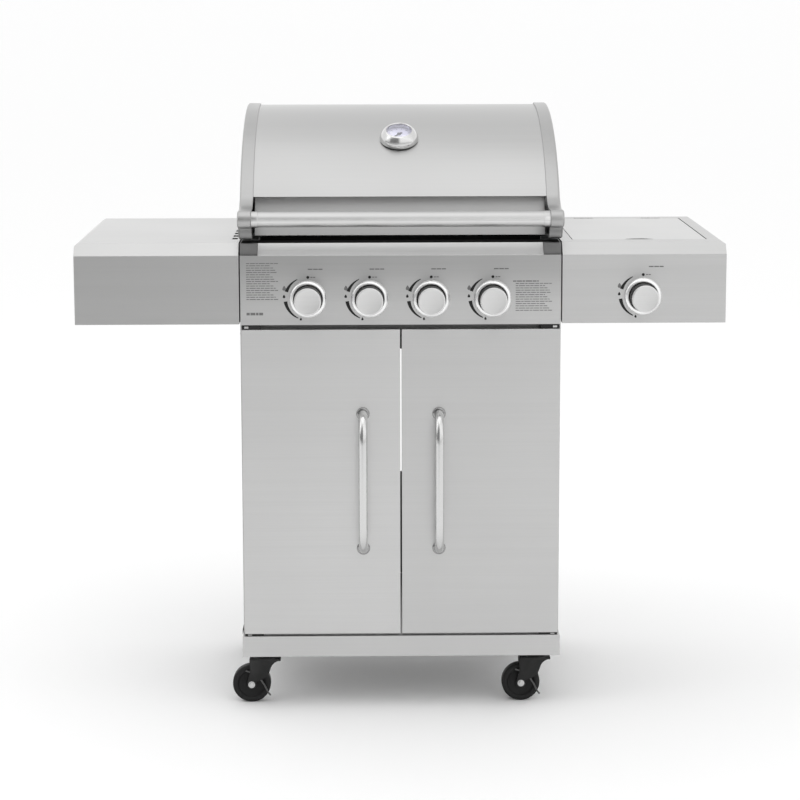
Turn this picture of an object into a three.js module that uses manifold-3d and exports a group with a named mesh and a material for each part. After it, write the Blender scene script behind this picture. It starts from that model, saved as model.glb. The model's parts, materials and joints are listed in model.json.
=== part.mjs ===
// Gas barbecue grill on a wheeled cabinet. Millimetres, +Z up, the front faces -Y.
// Everything is laid out with Y = 0 on the front face of the side tables and control panel;
// the last group moves the whole grill so that its origin is under the middle of its box.
import * as THREE from 'three';
import { mergeVertices } from 'three/addons/utils/BufferGeometryUtils.js';
import Module from 'manifold-3d';

const wasm = await Module();
wasm.setup();

// Driving dimensions
const OVERALL_WIDTH = 1240;
const TABLE_TOP = 914;
const TABLE_DEPTH = 480;
const TABLE_INNER = 307.6;
const TABLE_FLANGE = 60;
const FASCIA_BOTTOM = 759.6;
const FACET_BOTTOM = 891;
const FACET_DEPTH = 18;
const TABLE_END = [8, 5];
const SHEET = 1.5;
const GAP = 0.3;
const BODY_HALF = 305.2;
const KNOB_FACE = -45;
const REAR = 485;

// Cart
const PAN_BOTTOM = 105;
const PAN_TOP = 146;
const PAN_HALF = 308.7;
const PAN_DEPTH = 478;
const SIDE_INNER = 305.5;
const SIDE_FRONT = 22.5;
const SIDE_BACK = 476;
const SIDE_TOP = 889.5;

// Doors
const DOOR_HALF = 304;
const DOOR_GAP = 3;
const DOOR_BOTTOM = 150.5;
const DOOR_TOP = 748.5;
const DOOR_FRONT = 2;
const DOOR_BACK = 20;
const PULL_X = 73;
const PULL_TOP = 585;
const PULL_BOTTOM = 321;
const PULL_RADIUS = 8.6;
const PULL_STANDOFF = 38;
const PULL_BEND = 34;
const PULL_BEND_HEIGHT = 54;

// Firebox
const TUB_HALF = 271.7;
const TUB_FRONT = 60;
const TUB_BACK = 462;
const TUB_BOTTOM = 776;
const TUB_TOP = 912;
const TUB_FRONT_LIP = 919;
const TUB_REAR_LIP = 948;
const TUB_WALL = 3;
const CASTING_BOTTOM = 890;
const CASTING_TOP = 913.5;
const GRATE_LEDGE = 879.5;
const TAMER_LEDGE = 844.5;
const BURNER_X = [-178.5, -59.5, 59.5, 178.5];
const BURNER_Z = 815;
const BURNER_RADIUS = 12.5;

// Controls
const KNOB_PITCH = 117.2;
const KNOB_X = [-1.5, -0.5, 0.5, 1.5].map((step) => step * KNOB_PITCH - 0.7);
const KNOB_Z = 808;
const SIDE_KNOB_X = 461.5;
const SIDE_KNOB_Z = 811;
const STEM_RADIUS = 3;
const BORE_RADIUS = 3.4;
const STEM_HOLE = 8;
const PIPE_Y = 36;
const PIPE_Z = 792;

// Hood: a quarter ellipse from the front edge to the top, then a rounded back
const ARCH_Y = 440;
const ARCH_Z = 892;
const ARCH_DEPTH = 400;
const ARCH_HEIGHT = 265;
const HOOD_BACK_RADIUS = 29;
const HOOD_BOTTOM = 921;
const SKIN_BOTTOM = 997;
const CAP_INNER = 282;
const CAP_OUTER = 307.8;
const CAP_WALL = 3;
const HINGE_Y = 452;
const HINGE_Z = 938;
const HINGE_CORNER = 17;
const HANDLE_Y = -20;
const HANDLE_Z = 962;
const HANDLE_RADIUS = 15.25;
const BOSS_RADIUS = 17;
const DIAL_HEIGHT = 12;

// Side burner
const LID = { x0: 331, x1: 588, y0: 56, y1: 449, z0: 908, z1: 914 };
const LID_GAP = 2.2;
const WELL_FLOOR = 906;
const NOTCH_RADIUS = 34;
const NOTCH_DEPTH = 16;
const SIDE_BURNER_Y = 240;

// Casters
const SWIVEL_X = 265;
const SWIVEL_Y = [55, 415];
const TRAIL = 29;
const WHEEL_RADIUS = 37.5;
const WHEEL_HALF = 12;
const FORK_INNER = 15.5;
const FORK_OUTER = 18;

// Materials
function finish(color, roughness, metalness) {
  return () => new THREE.MeshStandardMaterial({ color, roughness, metalness });
}
const stainless = finish(0xc4c4c2, 0.38, 0.9);
const satinCasting = finish(0xb4b4b4, 0.45, 0.8);
const polished = finish(0xe2e2e4, 0.15, 1.0);
const castIron = finish(0x2b2b2d, 0.8, 0.4);
const darkSteel = finish(0x75777a, 0.5, 0.8);
const blackPlastic = finish(0x1e1e20, 0.55, 0.0);
const brass = finish(0xb59a52, 0.35, 0.9);

// Geometry helpers
function box(x0, x1, y0, y1, z0, z1) {
  const geometry = new THREE.BoxGeometry(x1 - x0, y1 - y0, z1 - z0);
  return geometry.translate((x0 + x1) / 2, (y0 + y1) / 2, (z0 + z1) / 2);
}

function shapeOf(points) {
  return new THREE.Shape(points.map(([a, b]) => new THREE.Vector2(a, b)));
}

function prism(points, depth) {
  return new THREE.ExtrudeGeometry(shapeOf(points), { depth, bevelEnabled: false, steps: 1 });
}

// Outline of (y, z) points swept along X
function prismX(points, x0, x1) {
  const turn = new THREE.Matrix4().set(0, 0, 1, x0, 1, 0, 0, 0, 0, 1, 0, 0, 0, 0, 0, 1);
  return prism(points, x1 - x0).applyMatrix4(turn);
}

// Outline of (x, z) points swept along Y
function prismY(points, y0, y1) {
  const turn = new THREE.Matrix4().set(1, 0, 0, 0, 0, 0, -1, y1, 0, 1, 0, 0, 0, 0, 0, 1);
  return prism(points, y1 - y0).applyMatrix4(turn);
}

// Outline of (x, y) points swept along Z
function prismZ(points, z0, z1) {
  return prism(points, z1 - z0).translate(0, 0, z0);
}

function rodX(radius, x0, x1, y, z, sides = 24) {
  const rod = new THREE.CylinderGeometry(radius, radius, x1 - x0, sides).rotateZ(Math.PI / 2);
  return rod.translate((x0 + x1) / 2, y, z);
}

function rodY(radius, y0, y1, x, z, sides = 24) {
  const rod = new THREE.CylinderGeometry(radius, radius, y1 - y0, sides);
  return rod.translate(x, (y0 + y1) / 2, z);
}

function rodZ(radius, z0, z1, x, y, sides = 24) {
  const rod = new THREE.CylinderGeometry(radius, radius, z1 - z0, sides).rotateX(Math.PI / 2);
  return rod.translate(x, y, (z0 + z1) / 2);
}

// Points of an arc, angles in degrees
function arc(a, b, radius, from, to, steps) {
  return Array.from({ length: steps + 1 }, (_, i) => {
    const angle = THREE.MathUtils.degToRad(from + ((to - from) * i) / steps);
    return [a + radius * Math.cos(angle), b + radius * Math.sin(angle)];
  });
}

// Closed outline of a folded sheet whose outer side follows the path; the sheet is on its left
function fold(path, thickness = SHEET) {
  const points = path.map(([a, b]) => new THREE.Vector2(a, b));
  const inner = points.map((point, i) => {
    const before = points[Math.max(i - 1, 0)];
    const after = points[Math.min(i + 1, points.length - 1)];
    const into = point.clone().sub(before).normalize();
    const out = after.clone().sub(point).normalize();
    const start = into.lengthSq() > 0 ? into : out;
    const end = out.lengthSq() > 0 ? out : start;
    const left = new THREE.Vector2(-start.y - end.y, start.x + end.x).normalize();
    const reach = thickness / left.dot(new THREE.Vector2(-start.y, start.x));
    return [point.x + left.x * reach, point.y + left.y * reach];
  });
  return [...path, ...inner.reverse()];
}

function mirrored(geometry) {
  return geometry.clone().scale(-1, 1, 1);
}

function signedVolume(positions, triangles) {
  const corner = (i) => new THREE.Vector3().fromArray(positions, 3 * triangles[i]);
  let volume = 0;
  for (let i = 0; i < triangles.length; i += 3) {
    volume += corner(i).dot(corner(i + 1).cross(corner(i + 2))) / 6;
  }
  return volume;
}

// Shared vertices merged, slivers at a lathe's axis dropped, and every face turned outwards
function welded(geometry) {
  const bare = new THREE.BufferGeometry();
  bare.setAttribute('position', geometry.getAttribute('position').clone());
  if (geometry.getIndex()) {
    bare.setIndex(geometry.getIndex().clone());
  }
  const merged = mergeVertices(bare, 1e-3);
  const index = merged.getIndex().array;
  const kept = [];
  for (let i = 0; i < index.length; i += 3) {
    const [a, b, c] = index.slice(i, i + 3);
    if (a !== b && b !== c && c !== a) {
      kept.push(a, b, c);
    }
  }
  if (signedVolume(merged.getAttribute('position').array, kept) < 0) {
    kept.reverse();
  }
  merged.setIndex(kept);
  merged.computeVertexNormals();
  return merged;
}

function toSolid(geometry) {
  const closed = welded(geometry);
  return new wasm.Manifold(new wasm.Mesh({
    numProp: 3,
    vertProperties: new Float32Array(closed.getAttribute('position').array),
    triVerts: new Uint32Array(closed.getIndex().array),
  }));
}

function toGeometry(solid) {
  const mesh = solid.getMesh();
  const geometry = new THREE.BufferGeometry();
  geometry.setAttribute('position', new THREE.BufferAttribute(mesh.vertProperties, 3));
  geometry.setIndex(new THREE.BufferAttribute(mesh.triVerts, 1));
  geometry.computeVertexNormals();
  return geometry;
}

function join(...pieces) {
  return toGeometry(pieces.map(toSolid).reduce((all, next) => all.add(next)));
}

function cut(body, ...tools) {
  return toGeometry(tools.map(toSolid).reduce((left, tool) => left.subtract(tool), toSolid(body)));
}

const layout = new THREE.Group();

function add(name, geometry, material, parent = layout) {
  const mesh = new THREE.Mesh(welded(geometry), material());
  mesh.name = name;
  parent.add(mesh);
  return mesh;
}

// Cart: a base pan with a turned-up apron, two folded side panels, rails and a low back panel
function makeBasePan() {
  const shell = box(-PAN_HALF, PAN_HALF, 0, PAN_DEPTH, PAN_BOTTOM, PAN_TOP);
  const inside = box(-PAN_HALF + SHEET, PAN_HALF - SHEET, SHEET, PAN_DEPTH - SHEET,
    PAN_BOTTOM + 2, PAN_TOP - SHEET);
  const below = box(-SWIVEL_X + 45, SWIVEL_X - 45, 100, 370, PAN_BOTTOM - 1, PAN_BOTTOM + 3);
  return cut(shell, inside, below);
}

function makeSidePanel() {
  const turnedIn = SIDE_INNER - 20;
  const outer = SIDE_INNER + SHEET;
  const channel = prismZ([
    [turnedIn, SIDE_FRONT], [outer, SIDE_FRONT], [outer, SIDE_BACK], [turnedIn, SIDE_BACK],
    [turnedIn, SIDE_BACK - SHEET], [SIDE_INNER, SIDE_BACK - SHEET],
    [SIDE_INNER, SIDE_FRONT + SHEET], [turnedIn, SIDE_FRONT + SHEET],
  ], PAN_TOP + GAP, SIDE_TOP);
  const trayRunner = box(270, SIDE_INNER + 1, 60, SIDE_BACK - 3, 738, 739.5);
  return join(channel, trayRunner);
}

add('base_pan', makeBasePan(), stainless);
const pipeHole = rodX(12, SIDE_INNER - 5, SIDE_INNER + 8, PIPE_Y, PIPE_Z, 16);
add('right_side_panel', cut(makeSidePanel(), pipeHole), stainless);
add('left_side_panel', mirrored(makeSidePanel()), stainless);
add('lower_back_panel', prismX(
  fold([[SIDE_BACK - 12, 370], [SIDE_BACK + SHEET + GAP, 370], [SIDE_BACK + SHEET + GAP, PAN_TOP + GAP]], -SHEET),
  -BODY_HALF + 21, BODY_HALF - 21,
), stainless);
add('upper_back_rail', prismX(
  fold([[SIDE_BACK + SHEET + GAP, 735], [SIDE_BACK + SHEET + GAP, 647], [SIDE_BACK - 12, 647]], -SHEET),
  -BODY_HALF + 21, BODY_HALF - 21,
), stainless);
add('front_top_rail', prismX(
  fold([[44, 756], [SIDE_FRONT + SHEET + GAP, 756], [SIDE_FRONT + SHEET + GAP, 735]]),
  -BODY_HALF, BODY_HALF,
), stainless);

// Doors: pressed pans hinged at their outer edges, each with a bent bar pull
class StationCurve extends THREE.Curve {
  constructor(stations) {
    super();
    this.stations = stations;
  }

  getPoint(t, target = new THREE.Vector3()) {
    const place = t * (this.stations.length - 1);
    const first = Math.min(Math.floor(place), this.stations.length - 2);
    return target.lerpVectors(this.stations[first], this.stations[first + 1], place - first);
  }

  getPointAt(u, target) {
    return this.getPoint(u, target);
  }

  getTangentAt(u, target = new THREE.Vector3()) {
    const last = this.stations.length - 1;
    const here = Math.round(u * last);
    const before = this.stations[Math.max(here - 1, 0)];
    const after = this.stations[Math.min(here + 1, last)];
    return target.subVectors(after, before).normalize();
  }
}

function makeDoor() {
  const shell = box(DOOR_GAP / 2, DOOR_HALF, DOOR_FRONT, DOOR_BACK, DOOR_BOTTOM, DOOR_TOP);
  const inside = box(DOOR_GAP / 2 + SHEET, DOOR_HALF - SHEET, DOOR_FRONT + SHEET, DOOR_BACK + 1,
    DOOR_BOTTOM + SHEET, DOOR_TOP - SHEET);
  return cut(shell, inside);
}

function makePull() {
  const face = DOOR_FRONT - GAP;
  const bar = DOOR_FRONT - PULL_STANDOFF;
  const bow = (z, from, to) => arc(0, 0, 1, from, to, 7).map(([a, b]) => (
    [bar + PULL_BEND + a * PULL_BEND, z + b * PULL_BEND_HEIGHT]
  ));
  const route = [
    [face, PULL_TOP],
    ...bow(PULL_TOP - PULL_BEND_HEIGHT, 90, 180),
    ...bow(PULL_BOTTOM + PULL_BEND_HEIGHT, 180, 270),
    [face, PULL_BOTTOM],
  ];
  const path = new StationCurve(route.map(([y, z]) => new THREE.Vector3(PULL_X, y, z)));
  const ring = new THREE.Shape(arc(0, 0, PULL_RADIUS, 0, 330, 11).map(([a, b]) => new THREE.Vector2(a, b)));
  return new THREE.ExtrudeGeometry(ring, {
    steps: route.length - 1,
    extrudePath: path,
    bevelEnabled: false,
  });
}

add('right_door', makeDoor(), stainless);
add('left_door', mirrored(makeDoor()), stainless);
add('right_door_handle', makePull(), polished);
add('left_door_handle', mirrored(makePull()), polished);

// Firebox: an open tub with a drain slot, ledges, an end casting on each side and hinge ears
function makeFirebox() {
  const tub = cut(
    box(-TUB_HALF, TUB_HALF, TUB_FRONT, TUB_BACK, TUB_BOTTOM, TUB_TOP),
    box(-TUB_HALF + TUB_WALL, TUB_HALF - TUB_WALL, TUB_FRONT + TUB_WALL, TUB_BACK - TUB_WALL,
      TUB_BOTTOM + TUB_WALL, TUB_TOP + 1),
    box(-60, 60, 180, 340, TUB_BOTTOM - 1, TUB_BOTTOM + TUB_WALL + 1),
    ...BURNER_X.map((x) => rodY(BURNER_RADIUS + 1.5, TUB_FRONT - 1, TUB_FRONT + 5, x, BURNER_Z, 12)),
  );
  const frontLip = box(-TUB_HALF, TUB_HALF, TUB_FRONT, TUB_FRONT + TUB_WALL, TUB_TOP - 1, TUB_FRONT_LIP);
  const rearLip = box(-TUB_HALF, TUB_HALF, TUB_BACK - TUB_WALL, TUB_BACK, TUB_TOP - 1, TUB_REAR_LIP);
  const ledges = [];
  for (const top of [GRATE_LEDGE, TAMER_LEDGE]) {
    const half = TUB_HALF - 1;
    ledges.push(box(-half, half, TUB_FRONT + 1, TUB_FRONT + 15, top - 3, top));
    ledges.push(box(-half, half, TUB_BACK - 15, TUB_BACK - 1, top - 3, top));
  }
  const casting = cut(
    box(TUB_HALF - 1, BODY_HALF, 5, 466, CASTING_BOTTOM, CASTING_TOP),
    box(TUB_HALF + 3, BODY_HALF - 3, 8, 463, CASTING_BOTTOM - 1, CASTING_TOP - 3),
    box(TUB_HALF - 2, TUB_HALF + 0.6, 4, TUB_FRONT, CASTING_BOTTOM - 1, CASTING_TOP + 1),
  );
  const ear = join(
    prismX([
      [HINGE_Y - 12, TUB_TOP - 12], [HINGE_Y + 12, TUB_TOP - 12],
      ...arc(HINGE_Y, HINGE_Z, 12, 0, 180, 8),
    ], TUB_HALF - 1, TUB_HALF + 6),
    rodX(4, TUB_HALF + 5, CAP_OUTER - 11, HINGE_Y, HINGE_Z, 16),
  );
  return join(tub, frontLip, rearLip, ...ledges, casting, mirrored(casting), ear, mirrored(ear));
}

add('firebox', makeFirebox(), darkSteel);

function makeControlPanel() {
  const face = prismX(fold([[0, FACET_BOTTOM], [0, 758], [SIDE_FRONT - 1, 758]]), -BODY_HALF, BODY_HALF);
  const top = prismX(
    fold([
      [TUB_FRONT - GAP, TABLE_TOP - 1], [FACET_DEPTH, TABLE_TOP - 1], [0, FACET_BOTTOM], [0, FACET_BOTTOM - 5],
    ]),
    -TUB_HALF, TUB_HALF,
  );
  const holes = KNOB_X.map((x) => rodY(STEM_HOLE, -2, 4, x, KNOB_Z, 16));
  return cut(join(face, top), ...holes);
}

add('control_panel', makeControlPanel(), stainless);

// Gas manifold: a pipe with a valve body behind each knob, an outlet spigot and an inlet nut
function makeManifold() {
  const pieces = [rodX(8, -222, SIDE_KNOB_X + 20, PIPE_Y, PIPE_Z, 16)];
  const bores = [];
  const valves = [...KNOB_X.map((x) => [x, KNOB_Z]), [SIDE_KNOB_X, SIDE_KNOB_Z]];
  for (const [x, z] of valves) {
    pieces.push(box(x - 13, x + 13, 14, 48, PIPE_Z - 8, z + 13));
    bores.push(rodY(BORE_RADIUS, 13, 34, x, z, 12));
  }
  for (const x of BURNER_X) {
    pieces.push(rodY(4, 46, 66, x, BURNER_Z, 8));
    pieces.push(box(x - 8, x + 8, 40, 49, BURNER_Z - 12, BURNER_Z + 6));
  }
  pieces.push(rodX(12, -236, -220, PIPE_Y, PIPE_Z, 6));
  pieces.push(rodX(6.5, -252, -234, PIPE_Y, PIPE_Z, 12));
  return cut(join(...pieces), ...bores);
}

add('gas_manifold', makeManifold(), brass);

function turnedOnY(profile, sides) {
  const points = profile.map(([radius, y]) => new THREE.Vector2(radius, y));
  return new THREE.LatheGeometry(points, sides);
}

const burnerShape = turnedOnY([
  [0, 438], [BURNER_RADIUS - 1.5, 438], [BURNER_RADIUS - 1.5, 55], [BURNER_RADIUS, 55],
  [BURNER_RADIUS, 442], [0, 442],
], 12);

BURNER_X.forEach((x, i) => {
  const burner = add(`burner_${i + 1}`, burnerShape.clone(), darkSteel);
  burner.position.set(x, 0, BURNER_Z);
  const tamer = add(`flame_tamer_${i + 1}`, prismY(
    fold([[42, 0], [0, 24], [-42, 0]]),
    TUB_FRONT + 4, TUB_BACK - 4,
  ), darkSteel);
  tamer.position.set(x, 0, TAMER_LEDGE + SHEET + GAP);
});

// Grates: flat frames with rows of slots
function slots(x0, x1, y0, y1, z0, z1, barWidth, slotWidth) {
  const count = Math.round((x1 - x0 - barWidth) / (barWidth + slotWidth));
  const pitch = (x1 - x0 - barWidth) / count;
  return Array.from({ length: count }, (_, i) => {
    const left = x0 + barWidth + i * pitch;
    return box(left, left + pitch - barWidth, y0, y1, z0 - 1, z1 + 1);
  });
}

function makeGrate() {
  const x0 = 1.2;
  const x1 = TUB_HALF - TUB_WALL - 1.2;
  const y0 = TUB_FRONT + TUB_WALL + 1.2;
  const y1 = TUB_BACK - TUB_WALL - 1.2;
  const z0 = GRATE_LEDGE + GAP;
  const z1 = GRATE_LEDGE + 10;
  const middle = (y0 + y1) / 2;
  return cut(
    box(x0, x1, y0, y1, z0, z1),
    ...slots(x0, x1, y0 + 10, middle - 4, z0, z1, 7, 12),
    ...slots(x0, x1, middle + 4, y1 - 10, z0, z1, 7, 12),
  );
}

add('right_cooking_grate', makeGrate(), castIron);
add('left_cooking_grate', mirrored(makeGrate()), castIron);

function makeWarmingRack() {
  const half = TUB_HALF - 2.5;
  const tray = cut(
    box(-half, half, 330, 440, 1000, 1005),
    ...slots(-half, half, 336, 434, 1000, 1005, 5, 21),
  );
  const legs = [];
  for (const side of [-1, 1]) {
    for (const y of [331, 433]) {
      const near = side * (half - 2.5);
      legs.push(box(near - 2.5, near + 2.5, y, y + 6, TUB_TOP + GAP, 1001));
    }
  }
  return join(tray, ...legs);
}

add('warming_rack', makeWarmingRack(), polished);

// Grease tray and the foil pan in it
function openBox(x0, x1, y0, y1, z0, z1, wall) {
  const shell = box(x0, x1, y0, y1, z0, z1);
  return cut(shell, box(x0 + wall, x1 - wall, y0 + wall, y1 - wall, z0 + wall, z1 + 1));
}

function makeGreaseTray() {
  const tray = openBox(-283, 283, 46, REAR - 8, 740, 765, SHEET);
  const pull = prismX(
    fold([[REAR - 8.5, 765], [REAR - 8.5, 768], [REAR, 768], [REAR, 757]], -SHEET),
    -120, 120,
  );
  return join(tray, pull);
}

add('grease_tray', makeGreaseTray(), stainless);
add('foil_drip_pan', openBox(-75, 75, 190, 330, 740 + SHEET + GAP, 760, 0.8), polished);

// Hood
function archPoints(inset, steps, fromZ = SKIN_BOTTOM) {
  const start = Math.asin((fromZ - ARCH_Z) / ARCH_HEIGHT);
  return Array.from({ length: steps + 1 }, (_, i) => {
    const angle = start + ((Math.PI / 2 - start) * i) / steps;
    const normal = new THREE.Vector2(-ARCH_HEIGHT * Math.cos(angle), ARCH_DEPTH * Math.sin(angle));
    normal.normalize();
    return [
      ARCH_Y - ARCH_DEPTH * Math.cos(angle) - normal.x * inset,
      ARCH_Z + ARCH_HEIGHT * Math.sin(angle) - normal.y * inset,
    ];
  });
}

function hoodTop(inset, steps) {
  const centreZ = ARCH_Z + ARCH_HEIGHT - HOOD_BACK_RADIUS;
  const corner = arc(ARCH_Y, centreZ, HOOD_BACK_RADIUS - inset, 90, 0, 5);
  return [...archPoints(inset, steps), ...corner.slice(1)];
}

function makeCap() {
  const outline = [
    ...hoodTop(0, 20),
    ...arc(HINGE_Y, HINGE_Z, HINGE_CORNER, 0, -90, 4),
    [11, HOOD_BOTTOM], [6, 924], [2, 931], [-4, 939],
    ...arc(HANDLE_Y, HANDLE_Z, BOSS_RADIUS, -60, -285, 15),
    [37, 978], [57, 986],
  ];
  const hollow = [
    ...hoodTop(CAP_WALL, 20),
    ...arc(HINGE_Y, HINGE_Z, HINGE_CORNER - CAP_WALL, 0, -90, 4),
    [76, HOOD_BOTTOM + CAP_WALL],
  ];
  const shell = cut(
    prismX(outline, CAP_INNER, CAP_OUTER),
    prismX(hollow, CAP_INNER - 1, CAP_OUTER - CAP_WALL),
  );
  const pivot = rodX(10, CAP_INNER + 2, CAP_OUTER - 2, HINGE_Y, HINGE_Z, 16);
  const bore = rodX(4.4, CAP_INNER, CAP_OUTER - 9, HINGE_Y, HINGE_Z, 16);
  return cut(join(shell, pivot), bore);
}

const skinInset = CAP_WALL + GAP;
const dialAngle = THREE.MathUtils.degToRad(51.7);
const dialNormal = new THREE.Vector2(
  -ARCH_HEIGHT * Math.cos(dialAngle),
  ARCH_DEPTH * Math.sin(dialAngle),
).normalize();
const dialPlace = new THREE.Vector2(
  ARCH_Y - ARCH_DEPTH * Math.cos(dialAngle) - dialNormal.x * skinInset,
  ARCH_Z + ARCH_HEIGHT * Math.sin(dialAngle) - dialNormal.y * skinInset,
);

function placeOnSkin(geometry) {
  const lean = Math.atan2(-dialNormal.x, dialNormal.y);
  return geometry.clone().rotateX(lean).translate(0, dialPlace.x, dialPlace.y);
}

function makeSkin() {
  const outside = hoodTop(skinInset, 20);
  const inside = hoodTop(skinInset + SHEET, 20);
  const rearFoot = 955;
  const sheet = prismX([
    ...outside,
    [outside.at(-1)[0], rearFoot], [inside.at(-1)[0], rearFoot],
    ...inside.reverse(),
  ], -300, 300);
  const lip = box(-CAP_INNER + GAP, CAP_INNER - GAP, 77.2, 103, SKIN_BOTTOM + 0.2, SKIN_BOTTOM + 1.7);
  const probeHole = placeOnSkin(rodZ(5.5, -12, 8, 0, 0, 12));
  return cut(join(sheet, lip), probeHole);
}

add('hood_skin', makeSkin(), stainless);
add('hood_right_cap', makeCap(), satinCasting);
add('hood_left_cap', mirrored(makeCap()), satinCasting);
add('hood_front_panel', prismX(
  fold([[98, SKIN_BOTTOM - 0.4], [72.5, HOOD_BOTTOM + 0.5], [86, HOOD_BOTTOM + 0.5]]),
  -280, 280,
), stainless);
add('hood_handle', rodX(HANDLE_RADIUS, -CAP_INNER + GAP, CAP_INNER - GAP, HANDLE_Y, HANDLE_Z, 32), polished);

// Thermometer: a round case with an open dial recess and a probe, and a needle that turns in it
function makeThermometer() {
  const turned = new THREE.LatheGeometry([
    [0, -40], [4, -40], [4, 0.6], [35, 0.6], [38, 2.4], [38, 5], [36, 12], [32, 18], [28.5, 21.8],
    [26.5, 22.8], [25.2, 22.2], [24.6, DIAL_HEIGHT], [0, DIAL_HEIGHT],
  ].map(([radius, height]) => new THREE.Vector2(radius, height)), 36).rotateX(Math.PI / 2);
  return placeOnSkin(turned);
}

function makeNeedle() {
  const pointer = prismZ([[-2, -8], [2, -8], [2, 0], [0.6, 22], [-0.6, 22], [-2, 0]],
    DIAL_HEIGHT + 0.6, DIAL_HEIGHT + 1.6);
  const hub = rodZ(4, DIAL_HEIGHT + 0.4, DIAL_HEIGHT + 2.4, 0, 0, 12);
  const coldMark = THREE.MathUtils.degToRad(135);
  return placeOnSkin(join(pointer, hub).rotateZ(coldMark));
}

add('thermometer_case', makeThermometer(), polished);
add('thermometer_needle', makeNeedle(), blackPlastic);

// Knobs and the valve stems they sit on
const knobShape = turnedOnY([
  [0, KNOB_FACE], [24, KNOB_FACE], [25.5, KNOB_FACE + 2], [26, -9], [BORE_RADIUS, -9],
  [BORE_RADIUS, -34], [0, -34],
], 24);
const knobs = [
  ...KNOB_X.map((x, i) => [`knob_${i + 1}`, `valve_stem_${i + 1}`, x, KNOB_Z]),
  ['side_burner_knob', 'side_burner_valve_stem', SIDE_KNOB_X, SIDE_KNOB_Z],
];
for (const [knobName, stemName, x, z] of knobs) {
  add(knobName, knobShape.clone(), polished).position.set(x, 0, z);
  add(stemName, rodY(STEM_RADIUS, -33.6, 24, 0, 0, 12), brass).position.set(x, 0, z);
}

// Side tables: folded sheets with a front fascia, a sloping facet, a bevelled end and an open underside
function endBevel(x, inset = 0) {
  const side = Math.sign(x);
  const [across, down] = TABLE_END;
  const slope = Math.hypot(across, down);
  const corner = [x - (side * inset * down) / slope, TABLE_TOP - (inset * across) / slope];
  return prismY([
    [corner[0] - side * across * 1.5, corner[1] + down / 2],
    [corner[0] + side * across / 2, corner[1] - down * 1.5],
    [corner[0] + side * across / 2, corner[1] + down / 2],
  ], -5, TABLE_DEPTH + 5);
}

function tableShell(x0, x1, innerSide) {
  const outline = [
    [0, FASCIA_BOTTOM], [0, FACET_BOTTOM], [FACET_DEPTH, TABLE_TOP], [TABLE_DEPTH, TABLE_TOP],
    [TABLE_DEPTH, TABLE_TOP - 45], [150, FASCIA_BOTTOM],
  ];
  const inside = [
    [SHEET, FASCIA_BOTTOM - 1], [SHEET, FACET_BOTTOM - 0.6], [FACET_DEPTH + 0.8, TABLE_TOP - SHEET],
    [TABLE_DEPTH - SHEET, TABLE_TOP - SHEET], [TABLE_DEPTH - SHEET, TABLE_TOP - 60],
    [TABLE_DEPTH + 5, TABLE_TOP - 60], [TABLE_DEPTH + 5, FASCIA_BOTTOM - 1],
  ];
  const innerOpening = [
    [TABLE_FLANGE, FASCIA_BOTTOM - 1], [TABLE_FLANGE, TABLE_TOP - 40],
    [TABLE_DEPTH + 5, TABLE_TOP - 40], [TABLE_DEPTH + 5, FASCIA_BOTTOM - 1],
  ];
  const outerEnd = innerSide === x0 ? x1 : x0;
  return cut(
    prismX(outline, x0, x1),
    endBevel(outerEnd),
    cut(prismX(inside, x0 + SHEET, x1 - SHEET), endBevel(outerEnd, SHEET)),
    prismX(innerOpening, innerSide - 3, innerSide + 3),
  );
}

function makeLeftTable() {
  const vents = Array.from({ length: 4 }, (_, i) => (
    box(-TABLE_INNER - 16, -TABLE_INNER - 6, 78 + i * 46, 106 + i * 46, TABLE_TOP - 5, TABLE_TOP + 1)
  ));
  return cut(tableShell(-OVERALL_WIDTH / 2, -TABLE_INNER, -TABLE_INNER), ...vents);
}

function makeRightTable() {
  const shell = tableShell(TABLE_INNER, OVERALL_WIDTH / 2, TABLE_INNER);
  const well = box(LID.x0 - 2.7, LID.x1 + LID_GAP + SHEET, LID.y0 - 2.5, LID.y1 + 4, WELL_FLOOR - SHEET, TABLE_TOP - 1);
  const recess = box(LID.x0 - 1.2, LID.x1 + LID_GAP, LID.y0 - 1, LID.y1 + 2.5, WELL_FLOOR, TABLE_TOP + 1);
  const opening = box(350, 570, 79, 420, WELL_FLOOR - 5, WELL_FLOOR + 1);
  const stemHole = rodY(STEM_HOLE, -2, 4, SIDE_KNOB_X, SIDE_KNOB_Z, 16);
  const pipeGap = rodX(12, TABLE_INNER - 1, TABLE_INNER + SHEET + 1, PIPE_Y, PIPE_Z, 16);
  return cut(join(shell, well), recess, opening, stemHole, pipeGap);
}

add('left_table', makeLeftTable(), stainless);
add('right_table', makeRightTable(), stainless);

function makeLid() {
  const middle = (LID.x0 + LID.x1) / 2;
  return cut(
    box(LID.x0, LID.x1, LID.y0, LID.y1, LID.z0, LID.z1),
    box(LID.x0 + SHEET, LID.x1 - SHEET, LID.y0 + SHEET, LID.y1 - SHEET, LID.z0 - 1, LID.z1 - SHEET),
    rodZ(NOTCH_RADIUS, LID.z0 - 1, LID.z1 + 1, middle, LID.y0 + NOTCH_DEPTH - NOTCH_RADIUS, 64),
  );
}

function makeBurnerPan() {
  const rim = box(345, 575, 74, 425, WELL_FLOOR + 0.2, WELL_FLOOR + 1.2);
  const bowl = box(351, 569, 80, 419, 850, WELL_FLOOR + 1);
  const hollow = box(352.2, 567.8, 81.2, 417.8, 851.2, WELL_FLOOR + 2);
  const passage = rodZ(20, 849, 853, SIDE_KNOB_X, SIDE_BURNER_Y, 16);
  return cut(join(rim, bowl), hollow, passage);
}

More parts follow.
